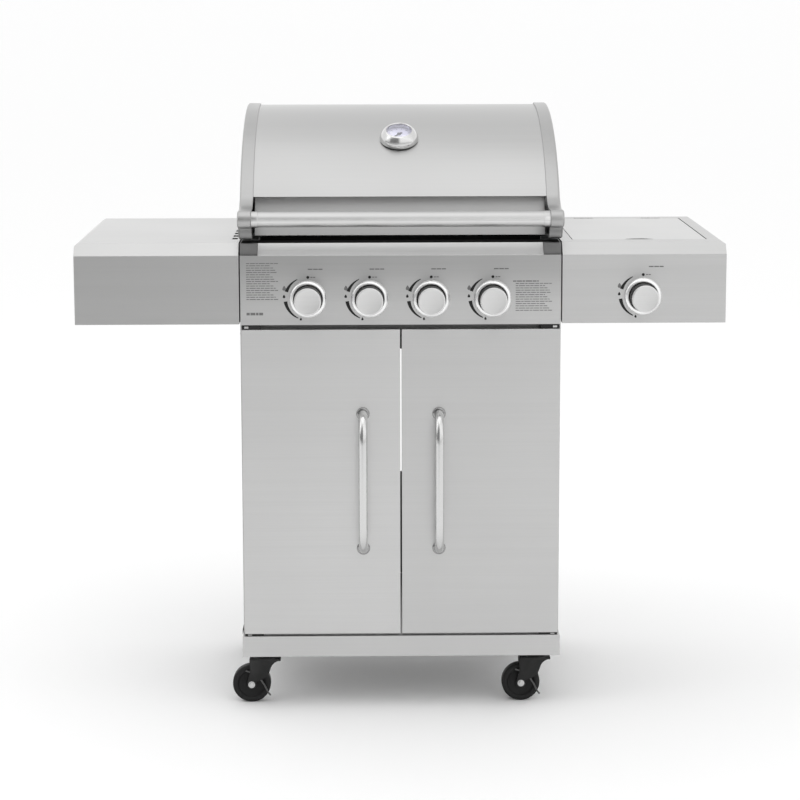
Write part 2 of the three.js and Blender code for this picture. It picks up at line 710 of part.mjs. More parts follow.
function makeSideBurner() {
  return join(
    rodZ(42, 868, 882, SIDE_KNOB_X, SIDE_BURNER_Y, 32),
    rodZ(34, 858, 869, SIDE_KNOB_X, SIDE_BURNER_Y, 32),
    rodZ(15, 812, 860, SIDE_KNOB_X, SIDE_BURNER_Y, 16),
    rodY(11, 56, SIDE_BURNER_Y, SIDE_KNOB_X, SIDE_KNOB_Z + 3, 16),
  );
}

function makeTrivet() {
  const reach = 100;
  const x = SIDE_KNOB_X;
  const y = SIDE_BURNER_Y;
  const inside = reach - 7;
  const frame = cut(
    box(x - reach, x + reach, y - reach, y + reach, 893, 899),
    box(x - inside, x + inside, y - inside, y + inside, 892, 900),
  );
  const pieces = [frame];
  for (const side of [-1, 1]) {
    const inner = side * 22;
    const outer = side * (reach - 1);
    const [low, high] = [Math.min(inner, outer), Math.max(inner, outer)];
    pieces.push(box(x + low, x + high, y - 3, y + 3, 893, 903));
    pieces.push(box(x - 3, x + 3, y + low, y + high, 893, 903));
    for (const end of [-1, 1]) {
      const cornerX = x + side * (reach - 3.5);
      const cornerY = y + end * (reach - 3.5);
      pieces.push(box(cornerX - 3, cornerX + 3, cornerY - 3, cornerY + 3, 851.5, 894));
    }
  }
  return join(...pieces);
}

add('side_burner_lid', makeLid(), stainless);
add('side_burner_pan', makeBurnerPan(), darkSteel);
add('side_burner', makeSideBurner(), brass);
add('side_burner_trivet', makeTrivet(), castIron);

// Casters: a swivel fork with its axle bolt, a wheel, and a brake lever on the front pair
function makeFork() {
  const head = rodZ(17, 88, PAN_BOTTOM - GAP, 0, 0, 24);
  const crown = box(-24, 24, -FORK_OUTER, FORK_OUTER, 84, 89);
  const leg = [
    [-24, 89], [24, 89], [22, 82], ...arc(26, 58, 22, 100, 165, 4).map(([a, b]) => [a - 6, b + 2]),
    ...arc(-TRAIL, WHEEL_RADIUS, 10, -20, -200, 8), [-24, 70],
  ];
  return join(
    head,
    crown,
    prismY(leg, -FORK_OUTER, -FORK_INNER),
    prismY(leg, FORK_INNER, FORK_OUTER),
    rodY(4, -FORK_OUTER, FORK_OUTER, -TRAIL, WHEEL_RADIUS, 16),
    rodY(6.3, -FORK_OUTER - 2.5, -FORK_OUTER + 1, -TRAIL, WHEEL_RADIUS, 6),
    rodY(6.3, FORK_OUTER - 1, FORK_OUTER + 3.5, -TRAIL, WHEEL_RADIUS, 6),
  );
}

function makeWheel() {
  const sides = 32;
  const flatRadius = WHEEL_RADIUS / Math.cos(Math.PI / sides);
  const shape = turnedOnY([
    [4.4, -WHEEL_HALF], [flatRadius - 4, -WHEEL_HALF], [flatRadius, -WHEEL_HALF + 4],
    [flatRadius, WHEEL_HALF - 4], [flatRadius - 4, WHEEL_HALF], [4.4, WHEEL_HALF],
    [4.4, -WHEEL_HALF],
  ], sides);
  return shape.rotateY(Math.PI / sides);
}

function makeBrakeLever() {
  const bow = [[-12, 26], [3, 21], [15, 11], [24, -3], [31, -18], [36, -24]];
  return prismY(fold(bow, 3), -FORK_INNER + 0.4, -WHEEL_HALF - 0.4);
}

const forkShape = makeFork();
const wheelShape = makeWheel();
SWIVEL_Y.forEach((y, row) => {
  for (const side of [-1, 1]) {
    const place = `${row === 0 ? 'front' : 'rear'}_${side < 0 ? 'left' : 'right'}`;
    const caster = new THREE.Group();
    caster.position.set(side * SWIVEL_X, y, 0);
    layout.add(caster);
    add(`${place}_caster_fork`, forkShape.clone(), blackPlastic, caster);
    const wheel = add(`${place}_wheel`, wheelShape.clone(), blackPlastic, caster);
    wheel.position.set(-TRAIL, 0, WHEEL_RADIUS);
    if (row === 0) {
      const lever = add(`${place}_brake_lever`, makeBrakeLever(), polished, caster);
      lever.position.set(-TRAIL, 0, WHEEL_RADIUS);
    }
  }
});

const group = new THREE.Group();
group.name = 'gas_barbecue_grill';
layout.position.y = -(KNOB_FACE + REAR) / 2;
group.add(layout);

export default group;
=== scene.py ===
"""Gas barbecue grill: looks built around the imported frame. Metres, +Z up, the front faces -Y."""

import json
import math
import bmesh
import bpy
from mathutils import Matrix, Vector


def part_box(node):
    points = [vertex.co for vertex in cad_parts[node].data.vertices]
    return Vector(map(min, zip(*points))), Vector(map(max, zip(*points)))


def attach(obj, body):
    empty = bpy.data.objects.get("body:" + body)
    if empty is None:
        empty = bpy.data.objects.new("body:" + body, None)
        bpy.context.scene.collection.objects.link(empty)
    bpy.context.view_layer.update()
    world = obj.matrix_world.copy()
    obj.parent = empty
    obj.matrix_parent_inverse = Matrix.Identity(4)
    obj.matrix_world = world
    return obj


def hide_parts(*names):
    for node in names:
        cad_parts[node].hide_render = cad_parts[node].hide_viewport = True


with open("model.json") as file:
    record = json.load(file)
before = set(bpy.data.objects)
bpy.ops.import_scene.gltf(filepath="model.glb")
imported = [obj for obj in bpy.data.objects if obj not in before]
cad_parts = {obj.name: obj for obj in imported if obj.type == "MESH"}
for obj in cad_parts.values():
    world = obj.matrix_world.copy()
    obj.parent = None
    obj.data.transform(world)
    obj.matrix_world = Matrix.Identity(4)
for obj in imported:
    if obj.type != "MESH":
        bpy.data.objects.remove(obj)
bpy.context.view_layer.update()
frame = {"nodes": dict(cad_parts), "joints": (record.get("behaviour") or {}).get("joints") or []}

NODES = frame["nodes"]

# ---------------------------------------------------------------- camera, lights and floor
CAMERA_PLACE = Vector((-0.0668, -4.4811, 1.3984))
CAMERA_YAW = 0.0153
CAMERA_PITCH = -0.1471
CAMERA_ROLL = -0.0018
CAMERA_LENS = 101.77
CAMERA_SHIFT = -0.1


def make_camera():
    data = bpy.data.cameras.new("camera")
    data.sensor_width = 36
    data.lens = CAMERA_LENS
    data.shift_y = CAMERA_SHIFT
    data.clip_end = 500
    camera = bpy.data.objects.new("camera", data)
    bpy.context.scene.collection.objects.link(camera)
    forward = Vector((
        math.sin(CAMERA_YAW) * math.cos(CAMERA_PITCH),
        math.cos(CAMERA_YAW) * math.cos(CAMERA_PITCH),
        math.sin(CAMERA_PITCH),
    ))
    level = Vector((math.cos(CAMERA_YAW), -math.sin(CAMERA_YAW), 0))
    upright = level.cross(forward)
    right = math.cos(CAMERA_ROLL) * level + math.sin(CAMERA_ROLL) * upright
    up = math.cos(CAMERA_ROLL) * upright - math.sin(CAMERA_ROLL) * level
    turn = Matrix((right, up, -forward)).transposed().to_4x4()
    camera.matrix_world = Matrix.Translation(CAMERA_PLACE) @ turn
    bpy.context.scene.camera = camera


class Nodes:
    """A small builder for node trees."""

    def __init__(self, tree):
        self.tree = tree
        tree.nodes.clear()

    def add(self, kind, inputs=None, **settings):
        node = self.tree.nodes.new(kind)
        for key, value in settings.items():
            setattr(node, key, value)
        for key, value in (inputs or {}).items():
            socket = node.inputs[key]
            if isinstance(value, bpy.types.NodeSocket):
                self.tree.links.new(value, socket)
            else:
                socket.default_value = value
        return node

    def math(self, operation, a, b=0.0, c=0.0):
        return self.add("ShaderNodeMath", {0: a, 1: b, 2: c}, operation=operation).outputs[0]

    def remap(self, value, low, high, to_low, to_high, smooth=False):
        kind = "SMOOTHSTEP" if smooth else "LINEAR"
        node = self.add("ShaderNodeMapRange", {
            "Value": value, "From Min": low, "From Max": high, "To Min": to_low, "To Max": to_high,
        }, interpolation_type=kind)
        return node.outputs["Result"]

    def ramp(self, value, stops):
        """A grey ramp through (place, tone) stops."""
        node = self.add("ShaderNodeValToRGB", {"Fac": value})
        elements = node.color_ramp.elements
        while len(elements) < len(stops):
            elements.new(0.5)
        for element, (place, tone) in zip(elements, stops):
            element.position = place
            element.color = (tone, tone, tone, 1)
        return node.outputs["Color"]

    def mix(self, factor, a, b, blend="MIX"):
        node = self.add("ShaderNodeMix", data_type="RGBA", blend_type=blend)
        for key, value in ((0, factor), (6, a), (7, b)):
            if isinstance(value, bpy.types.NodeSocket):
                self.tree.links.new(value, node.inputs[key])
            else:
                node.inputs[key].default_value = value if key == 0 else (*value, 1)
        return node.outputs[2]


FLOOR_REACH = 300
# Sky brightness from the horizon behind the grill (0) over the zenith (0.5) to the front (1)
SKY = ((0.00, 1.32), (0.06, 1.24), (0.15, 0.98), (0.26, 0.92), (0.40, 0.93), (0.52, 0.98), (0.66, 1.05),
       (0.76, 0.98), (0.86, 0.80), (1.00, 0.68))
SKY_PEAK = 1.4
SKY_LEVEL = 1.07


def make_world():
    """A soft room: bright behind and overhead, dimmer in front and dimmest at the front left."""
    world = bpy.data.worlds.new("studio")
    bpy.context.scene.world = world
    world.use_nodes = True
    n = Nodes(world.node_tree)
    direction = n.add("ShaderNodeTexCoord").outputs["Generated"]
    sideways, depth, height = n.add("ShaderNodeSeparateXYZ", {0: direction}).outputs
    sweep = n.math("DIVIDE", n.math("ARCTAN2", height, depth), math.pi)
    stops = [(place, level / SKY_PEAK) for place, level in SKY]
    sky = n.add("ShaderNodeSeparateColor", {0: n.ramp(sweep, stops)}).outputs[0]
    in_front = n.remap(sweep, 0.66, 0.86, 0, 1, smooth=True)
    side = n.remap(sideways, -0.12, 0.15, 0.30, 1.40, smooth=True)
    side_factor = n.math("ADD", 1.0, n.math("MULTIPLY", in_front, n.math("SUBTRACT", side, 1.0)))
    strength = n.math("MULTIPLY", n.math("MULTIPLY", sky, side_factor), SKY_PEAK * SKY_LEVEL)
    background = n.add("ShaderNodeBackground", {"Color": (1, 1, 1, 1), "Strength": strength})
    n.add("ShaderNodeOutputWorld", {"Surface": background.outputs[0]})


def make_area_light(name, place, target, size, power):
    data = bpy.data.lights.new(name, "AREA")
    data.shape = "RECTANGLE"
    data.size, data.size_y = size
    data.energy = power
    light = bpy.data.objects.new(name, data)
    bpy.context.scene.collection.objects.link(light)
    light.location = place
    light.rotation_euler = (Vector(target) - Vector(place)).to_track_quat("-Z", "Y").to_euler()


def make_floor():
    """A pale floor with painted shade: darker far in front of the grill and towards the front left."""
    mesh = bpy.data.meshes.new("studio_floor")
    corners = [(x * FLOOR_REACH, y * FLOOR_REACH, 0) for x, y in ((-1, -1), (1, -1), (1, 1), (-1, 1))]
    mesh.from_pydata(corners, [], [(0, 1, 2, 3)])
    floor = bpy.data.objects.new("studio_floor", mesh)
    bpy.context.scene.collection.objects.link(floor)
    material = bpy.data.materials.new("studio_floor")
    material.use_nodes = True
    n = Nodes(material.node_tree)
    place = n.add("ShaderNodeTexCoord").outputs["Object"]
    sideways, depth, _ = n.add("ShaderNodeSeparateXYZ", {0: place}).outputs
    color = n.ramp(n.remap(depth, -9.0, -2.5, 0, 1, smooth=True), [(0, 0.62), (1, 0.97)])
    painted_left_shade = n.math("MULTIPLY", n.remap(sideways, 0.2, -1.2, 0, 1, smooth=True),
                      n.remap(depth, -2.4, -4.6, 0, 1, smooth=True))
    color = n.mix(n.math("MULTIPLY", painted_left_shade, 0.6), color, (0.30, 0.30, 0.30))
    surface = n.add("ShaderNodeBsdfPrincipled", {"Base Color": color, "Roughness": 0.85})
    surface.inputs["Specular IOR Level"].default_value = 0.1
    n.add("ShaderNodeOutputMaterial", {"Surface": surface.outputs[0]})
    mesh.materials.append(material)


make_camera()
make_world()
make_floor()
make_area_light("soft_top", (-0.6, -0.6, 4.2), (0, 0, 0.8), (5.0, 4.0), 26)
make_area_light("soft_left", (-3.6, -1.6, 2.4), (0, 0, 0.7), (1.8, 2.4), 8)
bpy.context.scene.view_settings.view_transform = "Standard"


# ---------------------------------------------------------------- materials
AXES = {"X": 0, "Y": 1, "Z": 2}


def new_material(name):
    material = bpy.data.materials.new(name)
    material.use_nodes = True
    return material, Nodes(material.node_tree)


def scaled(color, factor):
    return tuple(min(1.0, c * factor) for c in color)


def brushed(name, color, roughness, along="X", spread=0.6, contrast=0.05, painted_shading=None):
    """Sheet steel with fine parallel brushing along one axis, soft blotches and a little relief.

    painted_shading is (low, high, factor, end, after): painted shade and light, where the tone falls to
    factor between two heights, and above end it is after.
    """
    material, n = new_material(name)
    place = n.add("ShaderNodeTexCoord").outputs["Object"]
    stretch = [340.0] * 3
    stretch[AXES[along]] = 2.2
    grain_place = n.add("ShaderNodeMapping", {"Vector": place, "Scale": stretch}).outputs[0]
    grain = n.add("ShaderNodeTexNoise", {
        "Vector": grain_place, "Scale": 1.0, "Detail": 6.0, "Roughness": 0.72,
    })
    coarse_scale = [46.0] * 3
    coarse_scale[AXES[along]] = 0.9
    coarse_place = n.add("ShaderNodeMapping", {"Vector": place, "Scale": coarse_scale}).outputs[0]
    coarse = n.add("ShaderNodeTexNoise", {"Vector": coarse_place, "Scale": 1.0, "Detail": 3.0})
    cloud = n.add("ShaderNodeTexNoise", {"Vector": place, "Scale": 3.2, "Detail": 2.0})
    tone = n.math("ADD", n.math("MULTIPLY", grain.outputs[0], 0.6),
                  n.math("MULTIPLY", coarse.outputs[0], 0.4))
    shade = n.mix(n.remap(tone, 0.3, 0.7, 0, 1), scaled(color, 1 - contrast), scaled(color, 1 + contrast))
    clouded = n.mix(n.remap(cloud.outputs[0], 0.3, 0.7, 0.0, 0.5), shade, scaled(color, 0.95))
    # Painted shade and light: the tone is scaled by height
    if painted_shading:
        low, high, factor, end, after = painted_shading
        height = n.add("ShaderNodeSeparateXYZ", {0: place}).outputs[2]
        level = n.remap(height, low, high, 1.0, factor, smooth=True)
        past = n.math("GREATER_THAN", height, end)
        below = n.math("SUBTRACT", 1.0, past)
        level = n.math("ADD", n.math("MULTIPLY", level, below), n.math("MULTIPLY", past, after))
        dimming = n.add("ShaderNodeCombineColor", {0: level, 1: level, 2: level}).outputs[0]
        clouded = n.mix(1.0, clouded, dimming, blend="MULTIPLY")
    rough = n.math("ADD", n.remap(tone, 0.3, 0.7, roughness - 0.05, roughness + 0.06),
                   n.remap(cloud.outputs[0], 0.3, 0.7, -0.02, 0.02))
    bump = n.add("ShaderNodeBump", {"Strength": 0.10, "Distance": 0.0001, "Height": tone})
    heading = [0.0, 0.0, 0.0]
    heading[AXES[along]] = 1.0
    tangent = n.add("ShaderNodeVectorTransform", {"Vector": heading},
                    vector_type="VECTOR", convert_from="OBJECT", convert_to="WORLD")
    surface = n.add("ShaderNodeBsdfPrincipled", {
        "Base Color": clouded, "Metallic": 1.0, "Roughness": rough, "Normal": bump.outputs[0],
        "Tangent": tangent.outputs[0], "Anisotropic": spread, "Anisotropic Rotation": 0.25,
    })
    n.add("ShaderNodeOutputMaterial", {"Surface": surface.outputs[0]})
    return material


def cast(name, color, roughness, metallic, grain_size=900.0, relief=0.25, wear=None, sheen=0.5,
         patches=0.12):
    """A cast, enamelled or moulded surface: fine grain, tone patches and, with wear, lighter worn edges."""
    material, n = new_material(name)
    place = n.add("ShaderNodeTexCoord").outputs["Object"]
    grain = n.add("ShaderNodeTexNoise", {"Vector": place, "Scale": grain_size, "Detail": 3.0})
    patch = n.add("ShaderNodeTexNoise", {"Vector": place, "Scale": 14.0, "Detail": 3.0})
    shade = n.mix(n.remap(patch.outputs[0], 0.3, 0.7, 0, 1),
                  scaled(color, 1 - patches), scaled(color, 1 + patches))
    if wear:
        edges = n.add("ShaderNodeNewGeometry").outputs["Pointiness"]
        worn = n.math("MULTIPLY", n.remap(edges, 0.52, 0.60, 0, 1),
                      n.remap(patch.outputs[0], 0.4, 0.6, 0.2, 1))
        shade = n.mix(worn, shade, wear)
    rough = n.remap(patch.outputs[0], 0.3, 0.7, roughness - 0.4 * patches, roughness + 0.6 * patches)
    bump = n.add("ShaderNodeBump", {"Strength": relief, "Distance": 0.0002, "Height": grain.outputs[0]})
    surface = n.add("ShaderNodeBsdfPrincipled", {
        "Base Color": shade, "Metallic": metallic, "Roughness": rough, "Normal": bump.outputs[0],
        "Specular IOR Level": sheen,
    })
    n.add("ShaderNodeOutputMaterial", {"Surface": surface.outputs[0]})
    return material


def polished(name, color, roughness, lines=260.0, along="X", painted_reflection_bands=None):
    """Bright bar and turned parts: faint polishing lines and smudges over a clean metal.

    painted_reflection_bands is a list of (height of the surface normal from 0 to 1, tone): painted
    reflections and highlights round a bar's girth.
    """
    material, n = new_material(name)
    place = n.add("ShaderNodeTexCoord").outputs["Object"]
    stretch = [lines] * 3
    stretch[AXES[along]] = 6.0
    line_place = n.add("ShaderNodeMapping", {"Vector": place, "Scale": stretch}).outputs[0]
    line = n.add("ShaderNodeTexNoise", {"Vector": line_place, "Scale": 1.0, "Detail": 2.0})
    smudge = n.add("ShaderNodeTexNoise", {"Vector": place, "Scale": 22.0, "Detail": 3.0})
    shade = n.mix(smudge.outputs[0], scaled(color, 0.95), scaled(color, 1.04))
    if painted_reflection_bands:
        normal = n.add("ShaderNodeTexCoord").outputs["Normal"]
        tilt = n.math("MULTIPLY_ADD", n.add("ShaderNodeSeparateXYZ", {0: normal}).outputs[2], 0.5, 0.5)
        shade = n.mix(1.0, shade, n.ramp(tilt, painted_reflection_bands), blend="MULTIPLY")
    rough = n.math("ADD", n.remap(line.outputs[0], 0.3, 0.7, roughness - 0.02, roughness + 0.03),
                   n.remap(smudge.outputs[0], 0.4, 0.7, 0.0, 0.04))
    bump = n.add("ShaderNodeBump", {"Strength": 0.05, "Distance": 0.0001, "Height": line.outputs[0]})
    surface = n.add("ShaderNodeBsdfPrincipled", {
        "Base Color": shade, "Metallic": 1.0, "Roughness": rough, "Normal": bump.outputs[0],
    })
    n.add("ShaderNodeOutputMaterial", {"Surface": surface.outputs[0]})
    return material


def glass(name):
    """Clear glass over the dial, with a faint smeared gloss."""
    material, n = new_material(name)
    place = n.add("ShaderNodeTexCoord").outputs["Object"]
    smear = n.add("ShaderNodeTexNoise", {"Vector": place, "Scale": 60.0, "Detail": 2.0})
    rough = n.remap(smear.outputs[0], 0.4, 0.7, 0.0, 0.05)
    clear = n.add("ShaderNodeBsdfTransparent", {"Color": (0.97, 0.97, 1.0, 1)})
    gloss = n.add("ShaderNodeBsdfGlossy", {"Color": (1, 1, 1, 1), "Roughness": rough})
    share = n.remap(smear.outputs[0], 0.3, 0.7, 0.05, 0.09)
    both = n.add("ShaderNodeMixShader", {0: share, 1: clear.outputs[0], 2: gloss.outputs[0]})
    n.add("ShaderNodeOutputMaterial", {"Surface": both.outputs[0]})
    return material


def grey(value):
    """A metal's grey, a hair warm."""
    return (value, value, value * 0.995)


PANEL_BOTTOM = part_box("control_panel")[0].z
# Height at which the panel and the side tables turn from their front face to the sloping facet
FACET_EDGE = 0.8905
TABLE_FOOT = (0.70, 0.75)
MATERIALS = {
    "sheet_x": brushed("sheet_x", grey(0.585), 0.36),
    # left_door and right_door: the same steel in two tones, the left lighter: painted light and shade
    "left_door": brushed("left_door", grey(0.645), 0.38),
    "right_door": brushed("right_door", grey(0.60), 0.38),
    "base": brushed("base", grey(0.605), 0.38),
    # panel: painted shade darkening the face towards its top under the handle, and a painted highlight on the
    # facet
    "panel": brushed("panel", grey(0.585), 0.34,
                     painted_shading=(PANEL_BOTTOM + 0.02, FACET_EDGE, 0.74, FACET_EDGE, 1.10)),
    "sheet_y": brushed("sheet_y", grey(0.55), 0.38, along="Y"),
    # left_table and right_table: the same steel toned apart with painted light and shade: the left face
    # darker, the right facet and top darker
    "left_table": brushed("left_table", grey(0.585), 0.36, painted_shading=(*TABLE_FOOT, 0.89, FACET_EDGE, 0.98)),
    "right_table": brushed("right_table", grey(0.585), 0.36, painted_shading=(*TABLE_FOOT, 1.0, FACET_EDGE, 0.88)),
    "hood": brushed("hood", grey(0.505), 0.33),
    "recess": brushed("recess", grey(0.505), 0.40),
    # inner: near-black steel for the back panels: painted shade seen through the door gaps
    "inner": brushed("inner", grey(0.08), 0.50),
    # casting: painted shade darkening the end castings below the handle
    "casting": brushed("casting", grey(0.44), 0.40, along="Z", spread=0.4, contrast=0.08,
                       painted_shading=(0.952, 0.935, 0.72, 9.0, 1.0)),
    # bar: bands of painted reflection and highlight round the hood handle's tube
    "bar": polished("bar", grey(0.80), 0.30, painted_reflection_bands=(
        (0.0, 0.56), (0.25, 0.72), (0.41, 0.88), (0.435, 0.88), (0.455, 0.62), (0.475, 1.0), (0.56, 1.0),
        (0.75, 0.66), (1.0, 0.63))),
    "bar_z": polished("bar_z", grey(0.66), 0.17, along="Z"),
    "knob_face": brushed("knob_face", grey(0.74), 0.42, spread=0.2),
    "bezel": polished("bezel", grey(0.97), 0.36),
    "chrome": polished("chrome", grey(0.68), 0.16),
    "bolt": polished("bolt", grey(0.60), 0.28),
    "strip": polished("strip", grey(0.115), 0.35),
    # washer: darker than the bolts, partly its own darker steel and partly painted shade round the pull's
    # ends
    "washer": polished("washer", grey(0.34), 0.22),
    "firebox": cast("firebox", grey(0.175), 0.50, 0.75, wear=grey(0.22), patches=0.05),
    "burner": cast("burner", (0.30, 0.29, 0.27), 0.42, 0.9, relief=0.15),
    "iron": cast("iron", grey(0.016), 0.62, 0.0, relief=0.5, wear=grey(0.05)),
    "brass": cast("brass", (0.60, 0.45, 0.18), 0.35, 1.0, relief=0.1),
    "black": cast("black", grey(0.012), 0.46, 0.0, relief=0.2, wear=grey(0.04), sheen=0.26),
    "plastic": cast("plastic", grey(0.020), 0.45, 0.0, relief=0.1),
    "tread": cast("tread", grey(0.012), 0.55, 0.0, grain_size=500, relief=0.3, wear=grey(0.024), sheen=0.24),
    "print": cast("print", grey(0.018), 0.5, 0.0, relief=0.05, sheen=0.25),
    "faint_print": cast("faint_print", grey(0.16), 0.5, 0.0, relief=0.05),
    "dial": cast("dial", (0.86, 0.85, 0.92), 0.4, 0.0, relief=0.02),
    "foil": cast("foil", grey(0.75), 0.3, 1.0, grain_size=160, relief=0.6),
    # firebox_black_and_shadow: near-black for the strip under the hood, partly black enamel and partly
    # painted shadow
    "firebox_black_and_shadow": cast("firebox_black_and_shadow", grey(0.004), 0.8, 0.0, relief=0.3, sheen=0.05),
    "glass": glass("glass"),
}


# ---------------------------------------------------------------- mesh helpers
def finish_piece(name, bm, body, material, stands_for=(), bevel=0.0, angle=30):
    """Turns a bmesh into a piece that rides on a body, with bevelled edges or sharp ones above angle."""
    bmesh.ops.remove_doubles(bm, verts=bm.verts, dist=1e-6)
    bmesh.ops.recalc_face_normals(bm, faces=bm.faces)
    mesh = bpy.data.meshes.new(name)
    bm.to_mesh(mesh)
    bm.free()
    mesh.materials.append(MATERIALS[material])
    piece = bpy.data.objects.new(name, mesh)
    bpy.context.scene.collection.objects.link(piece)
    for polygon in mesh.polygons:
        polygon.use_smooth = True
    if bevel:
        add_bevel(piece, bevel, angle)
    else:
        mesh.set_sharp_from_angle(angle=math.radians(angle))
    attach(piece, body)
    if stands_for:
        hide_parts(*stands_for)
    return piece


def add_bevel(obj, width, angle=30):
    bevel = obj.modifiers.new("soft_edges", "BEVEL")
    bevel.width = width
    bevel.segments = 2
    bevel.limit_method = "ANGLE"
    bevel.angle_limit = math.radians(angle)
    bevel.use_clamp_overlap = True
    obj.modifiers.new("normals", "WEIGHTED_NORMAL").weight = 60


def refine(node, material, width=0.0006):
    """Keeps a CAD node, with its flat facets merged, its edges softened and a real material."""
    obj = NODES[node]
    mesh = obj.data
    mesh.materials.clear()
    mesh.materials.append(MATERIALS[material])
    if "custom_normal" in mesh.attributes:
        mesh.attributes.remove(mesh.attributes["custom_normal"])
    for polygon in mesh.polygons:
        polygon.use_smooth = True
    weld = obj.modifiers.new("weld", "WELD")
    weld.merge_threshold = 1e-5
    merge = obj.modifiers.new("merge_facets", "DECIMATE")
    merge.decimate_type = "DISSOLVE"
    merge.angle_limit = math.radians(0.5)
    add_bevel(obj, width)


def bridge(bm, first, second):
    count = len(first)
    for i in range(count):
        j = (i + 1) % count
        bm.faces.new((first[i], first[j], second[j], second[i]))


def loft(bm, rings, cyclic=False):
    """Joins rings of points in order, and either closes the last to the first or caps both ends."""
    made = [[bm.verts.new(point) for point in ring] for ring in rings]
    for first, second in zip(made, made[1:]):
        bridge(bm, first, second)
    if cyclic:
        bridge(bm, made[-1], made[0])
        return
    bm.faces.new(made[0])
    bm.faces.new(made[-1])


def lathe(bm, profile, place, axis, sides=64):
    """Turns (radius, height) points about an axis. A profile starts and ends on the axis, or closes."""
    axis = Vector(axis).normalized()
    side = axis.orthogonal().normalized()
    other = axis.cross(side)
    place = Vector(place)
    rings = []
    for radius, height in profile:
        radius = max(radius, 1e-7)
        rings.append([
            place + axis * height + radius * (math.cos(a) * side + math.sin(a) * other)
            for a in (2 * math.pi * k / sides for k in range(sides))
        ])
    open_profile = profile[0][0] < 1e-6 and profile[-1][0] < 1e-6
    loft(bm, rings, cyclic=not open_profile)


def tube(bm, path, radius, sides=24):
    """A round bar along a list of points that lie in one plane of constant X, or along one line."""
    rings = []
    for i, point in enumerate(path):
        before = path[max(i - 1, 0)]
        after = path[min(i + 1, len(path) - 1)]
        ahead = (after - before).normalized()
        side = Vector((1, 0, 0)) if abs(ahead.x) < 0.9 else Vector((0, 0, 1))
        other = ahead.cross(side).normalized()
        side = other.cross(ahead)
        rings.append([
            point + radius * (math.cos(a) * side + math.sin(a) * other)
            for a in (2 * math.pi * k / sides for k in range(sides))
        ])
    loft(bm, rings)


def arc(a, b, radius, start, end, steps):
    """Points of a circle about (a, b), from start to end in degrees."""
    for k in range(steps + 1):
        angle = math.radians(start + (end - start) * k / steps)
        yield (a + radius * math.cos(angle), b + radius * math.sin(angle))


def find_joint(name):
    return next(joint for joint in frame["joints"] if joint["name"] == name)


def block(bm, low, high):
    (x0, y0, z0), (x1, y1, z1) = low, high
    bottom = [(x0, y0, z0), (x1, y0, z0), (x1, y1, z0), (x0, y1, z0)]
    loft(bm, [bottom, [(x, y, z1) for x, y, _ in bottom]])


# ---------------------------------------------------------------- CAD nodes that keep their shape
# Node: its finish and the width of its softened edges
PLAIN = {
    "base_pan": ("base", 0.0010),
    "left_side_panel": ("sheet_y", 0.0004),
    "right_side_panel": ("sheet_y", 0.0004),
    # lower_back_panel and upper_back_rail: near-black painted shade seen through the door gaps
    "lower_back_panel": ("inner", 0.0004),
    "upper_back_rail": ("inner", 0.0004),
    # front_top_rail: dark finish that paints the shadow in the gap above the doors
    "front_top_rail": ("firebox", 0.0004),
    "left_door": ("left_door", 0.0007),
    "right_door": ("right_door", 0.0007),
    "control_panel": ("panel", 0.0006),
    "firebox": ("firebox", 0.0010),
    "gas_manifold": ("brass", 0.0005),
    "left_cooking_grate": ("iron", 0.0012),
    "right_cooking_grate": ("iron", 0.0012),
    "warming_rack": ("chrome", 0.0008),
    "grease_tray": ("sheet_x", 0.0004),
    "foil_drip_pan": ("foil", 0.0003),
    "hood_front_panel": ("recess", 0.0005),
    "thermometer_needle": ("faint_print", 0.0002),
    "left_table": ("left_table", 0.0007),
    "right_table": ("right_table", 0.0007),
    "side_burner_lid": ("sheet_x", 0.0006),
    "side_burner_pan": ("firebox", 0.0004),
    "side_burner": ("brass", 0.0010),
    "side_burner_trivet": ("iron", 0.0010),
}
for node_name, (finish_name, soft) in PLAIN.items():
    refine(node_name, finish_name, soft)
for number in range(1, 5):
    refine(f"burner_{number}", "burner", 0.0005)
    refine(f"flame_tamer_{number}", "burner", 0.0004)
    refine(f"valve_stem_{number}", "brass", 0.0003)
refine("side_burner_valve_stem", "brass", 0.0003)
for side in ("left", "right"):
    refine(f"front_{side}_brake_lever", "strip", 0.0004)


# ---------------------------------------------------------------- hood
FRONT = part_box("left_table")[0].y
TABLE_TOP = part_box("left_table")[1].z
CAP_LOW, CAP_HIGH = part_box("hood_right_cap")
SKIN_LOW, SKIN_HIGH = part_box("hood_skin")
HANDLE_LOW, HANDLE_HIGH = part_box("hood_handle")
HINGE = find_joint("hood_hinge")["pos_m"]
HANDLE_Y = (HANDLE_LOW.y + HANDLE_HIGH.y) / 2
HANDLE_Z = (HANDLE_LOW.z + HANDLE_HIGH.z) / 2
ARCH_DEPTH = 0.400
ARCH_HEIGHT = 0.265
ARCH_Y = FRONT + 0.440
ARCH_Z = CAP_HIGH.z - ARCH_HEIGHT
BACK_RADIUS = 0.029
SKIN_BOTTOM = 0.997
CAP_WALL = 0.003
BOSS_RADIUS = 0.017


def arch_points(inset, steps):
    """Front edge to back of the hood's curve, as (y, z), moved inwards by inset."""
    start = math.asin((SKIN_BOTTOM - ARCH_Z) / ARCH_HEIGHT)
    points = []
    for k in range(steps + 1):
        angle = start + (math.pi / 2 - start) * k / steps
        normal = Vector((-ARCH_HEIGHT * math.cos(angle), ARCH_DEPTH * math.sin(angle))).normalized()
        points.append((
            ARCH_Y - ARCH_DEPTH * math.cos(angle) - normal.x * inset,
            ARCH_Z + ARCH_HEIGHT * math.sin(angle) - normal.y * inset,
        ))
    points += list(arc(ARCH_Y, CAP_HIGH.z - BACK_RADIUS, BACK_RADIUS - inset, 90, 0, 10))[1:]
    return points


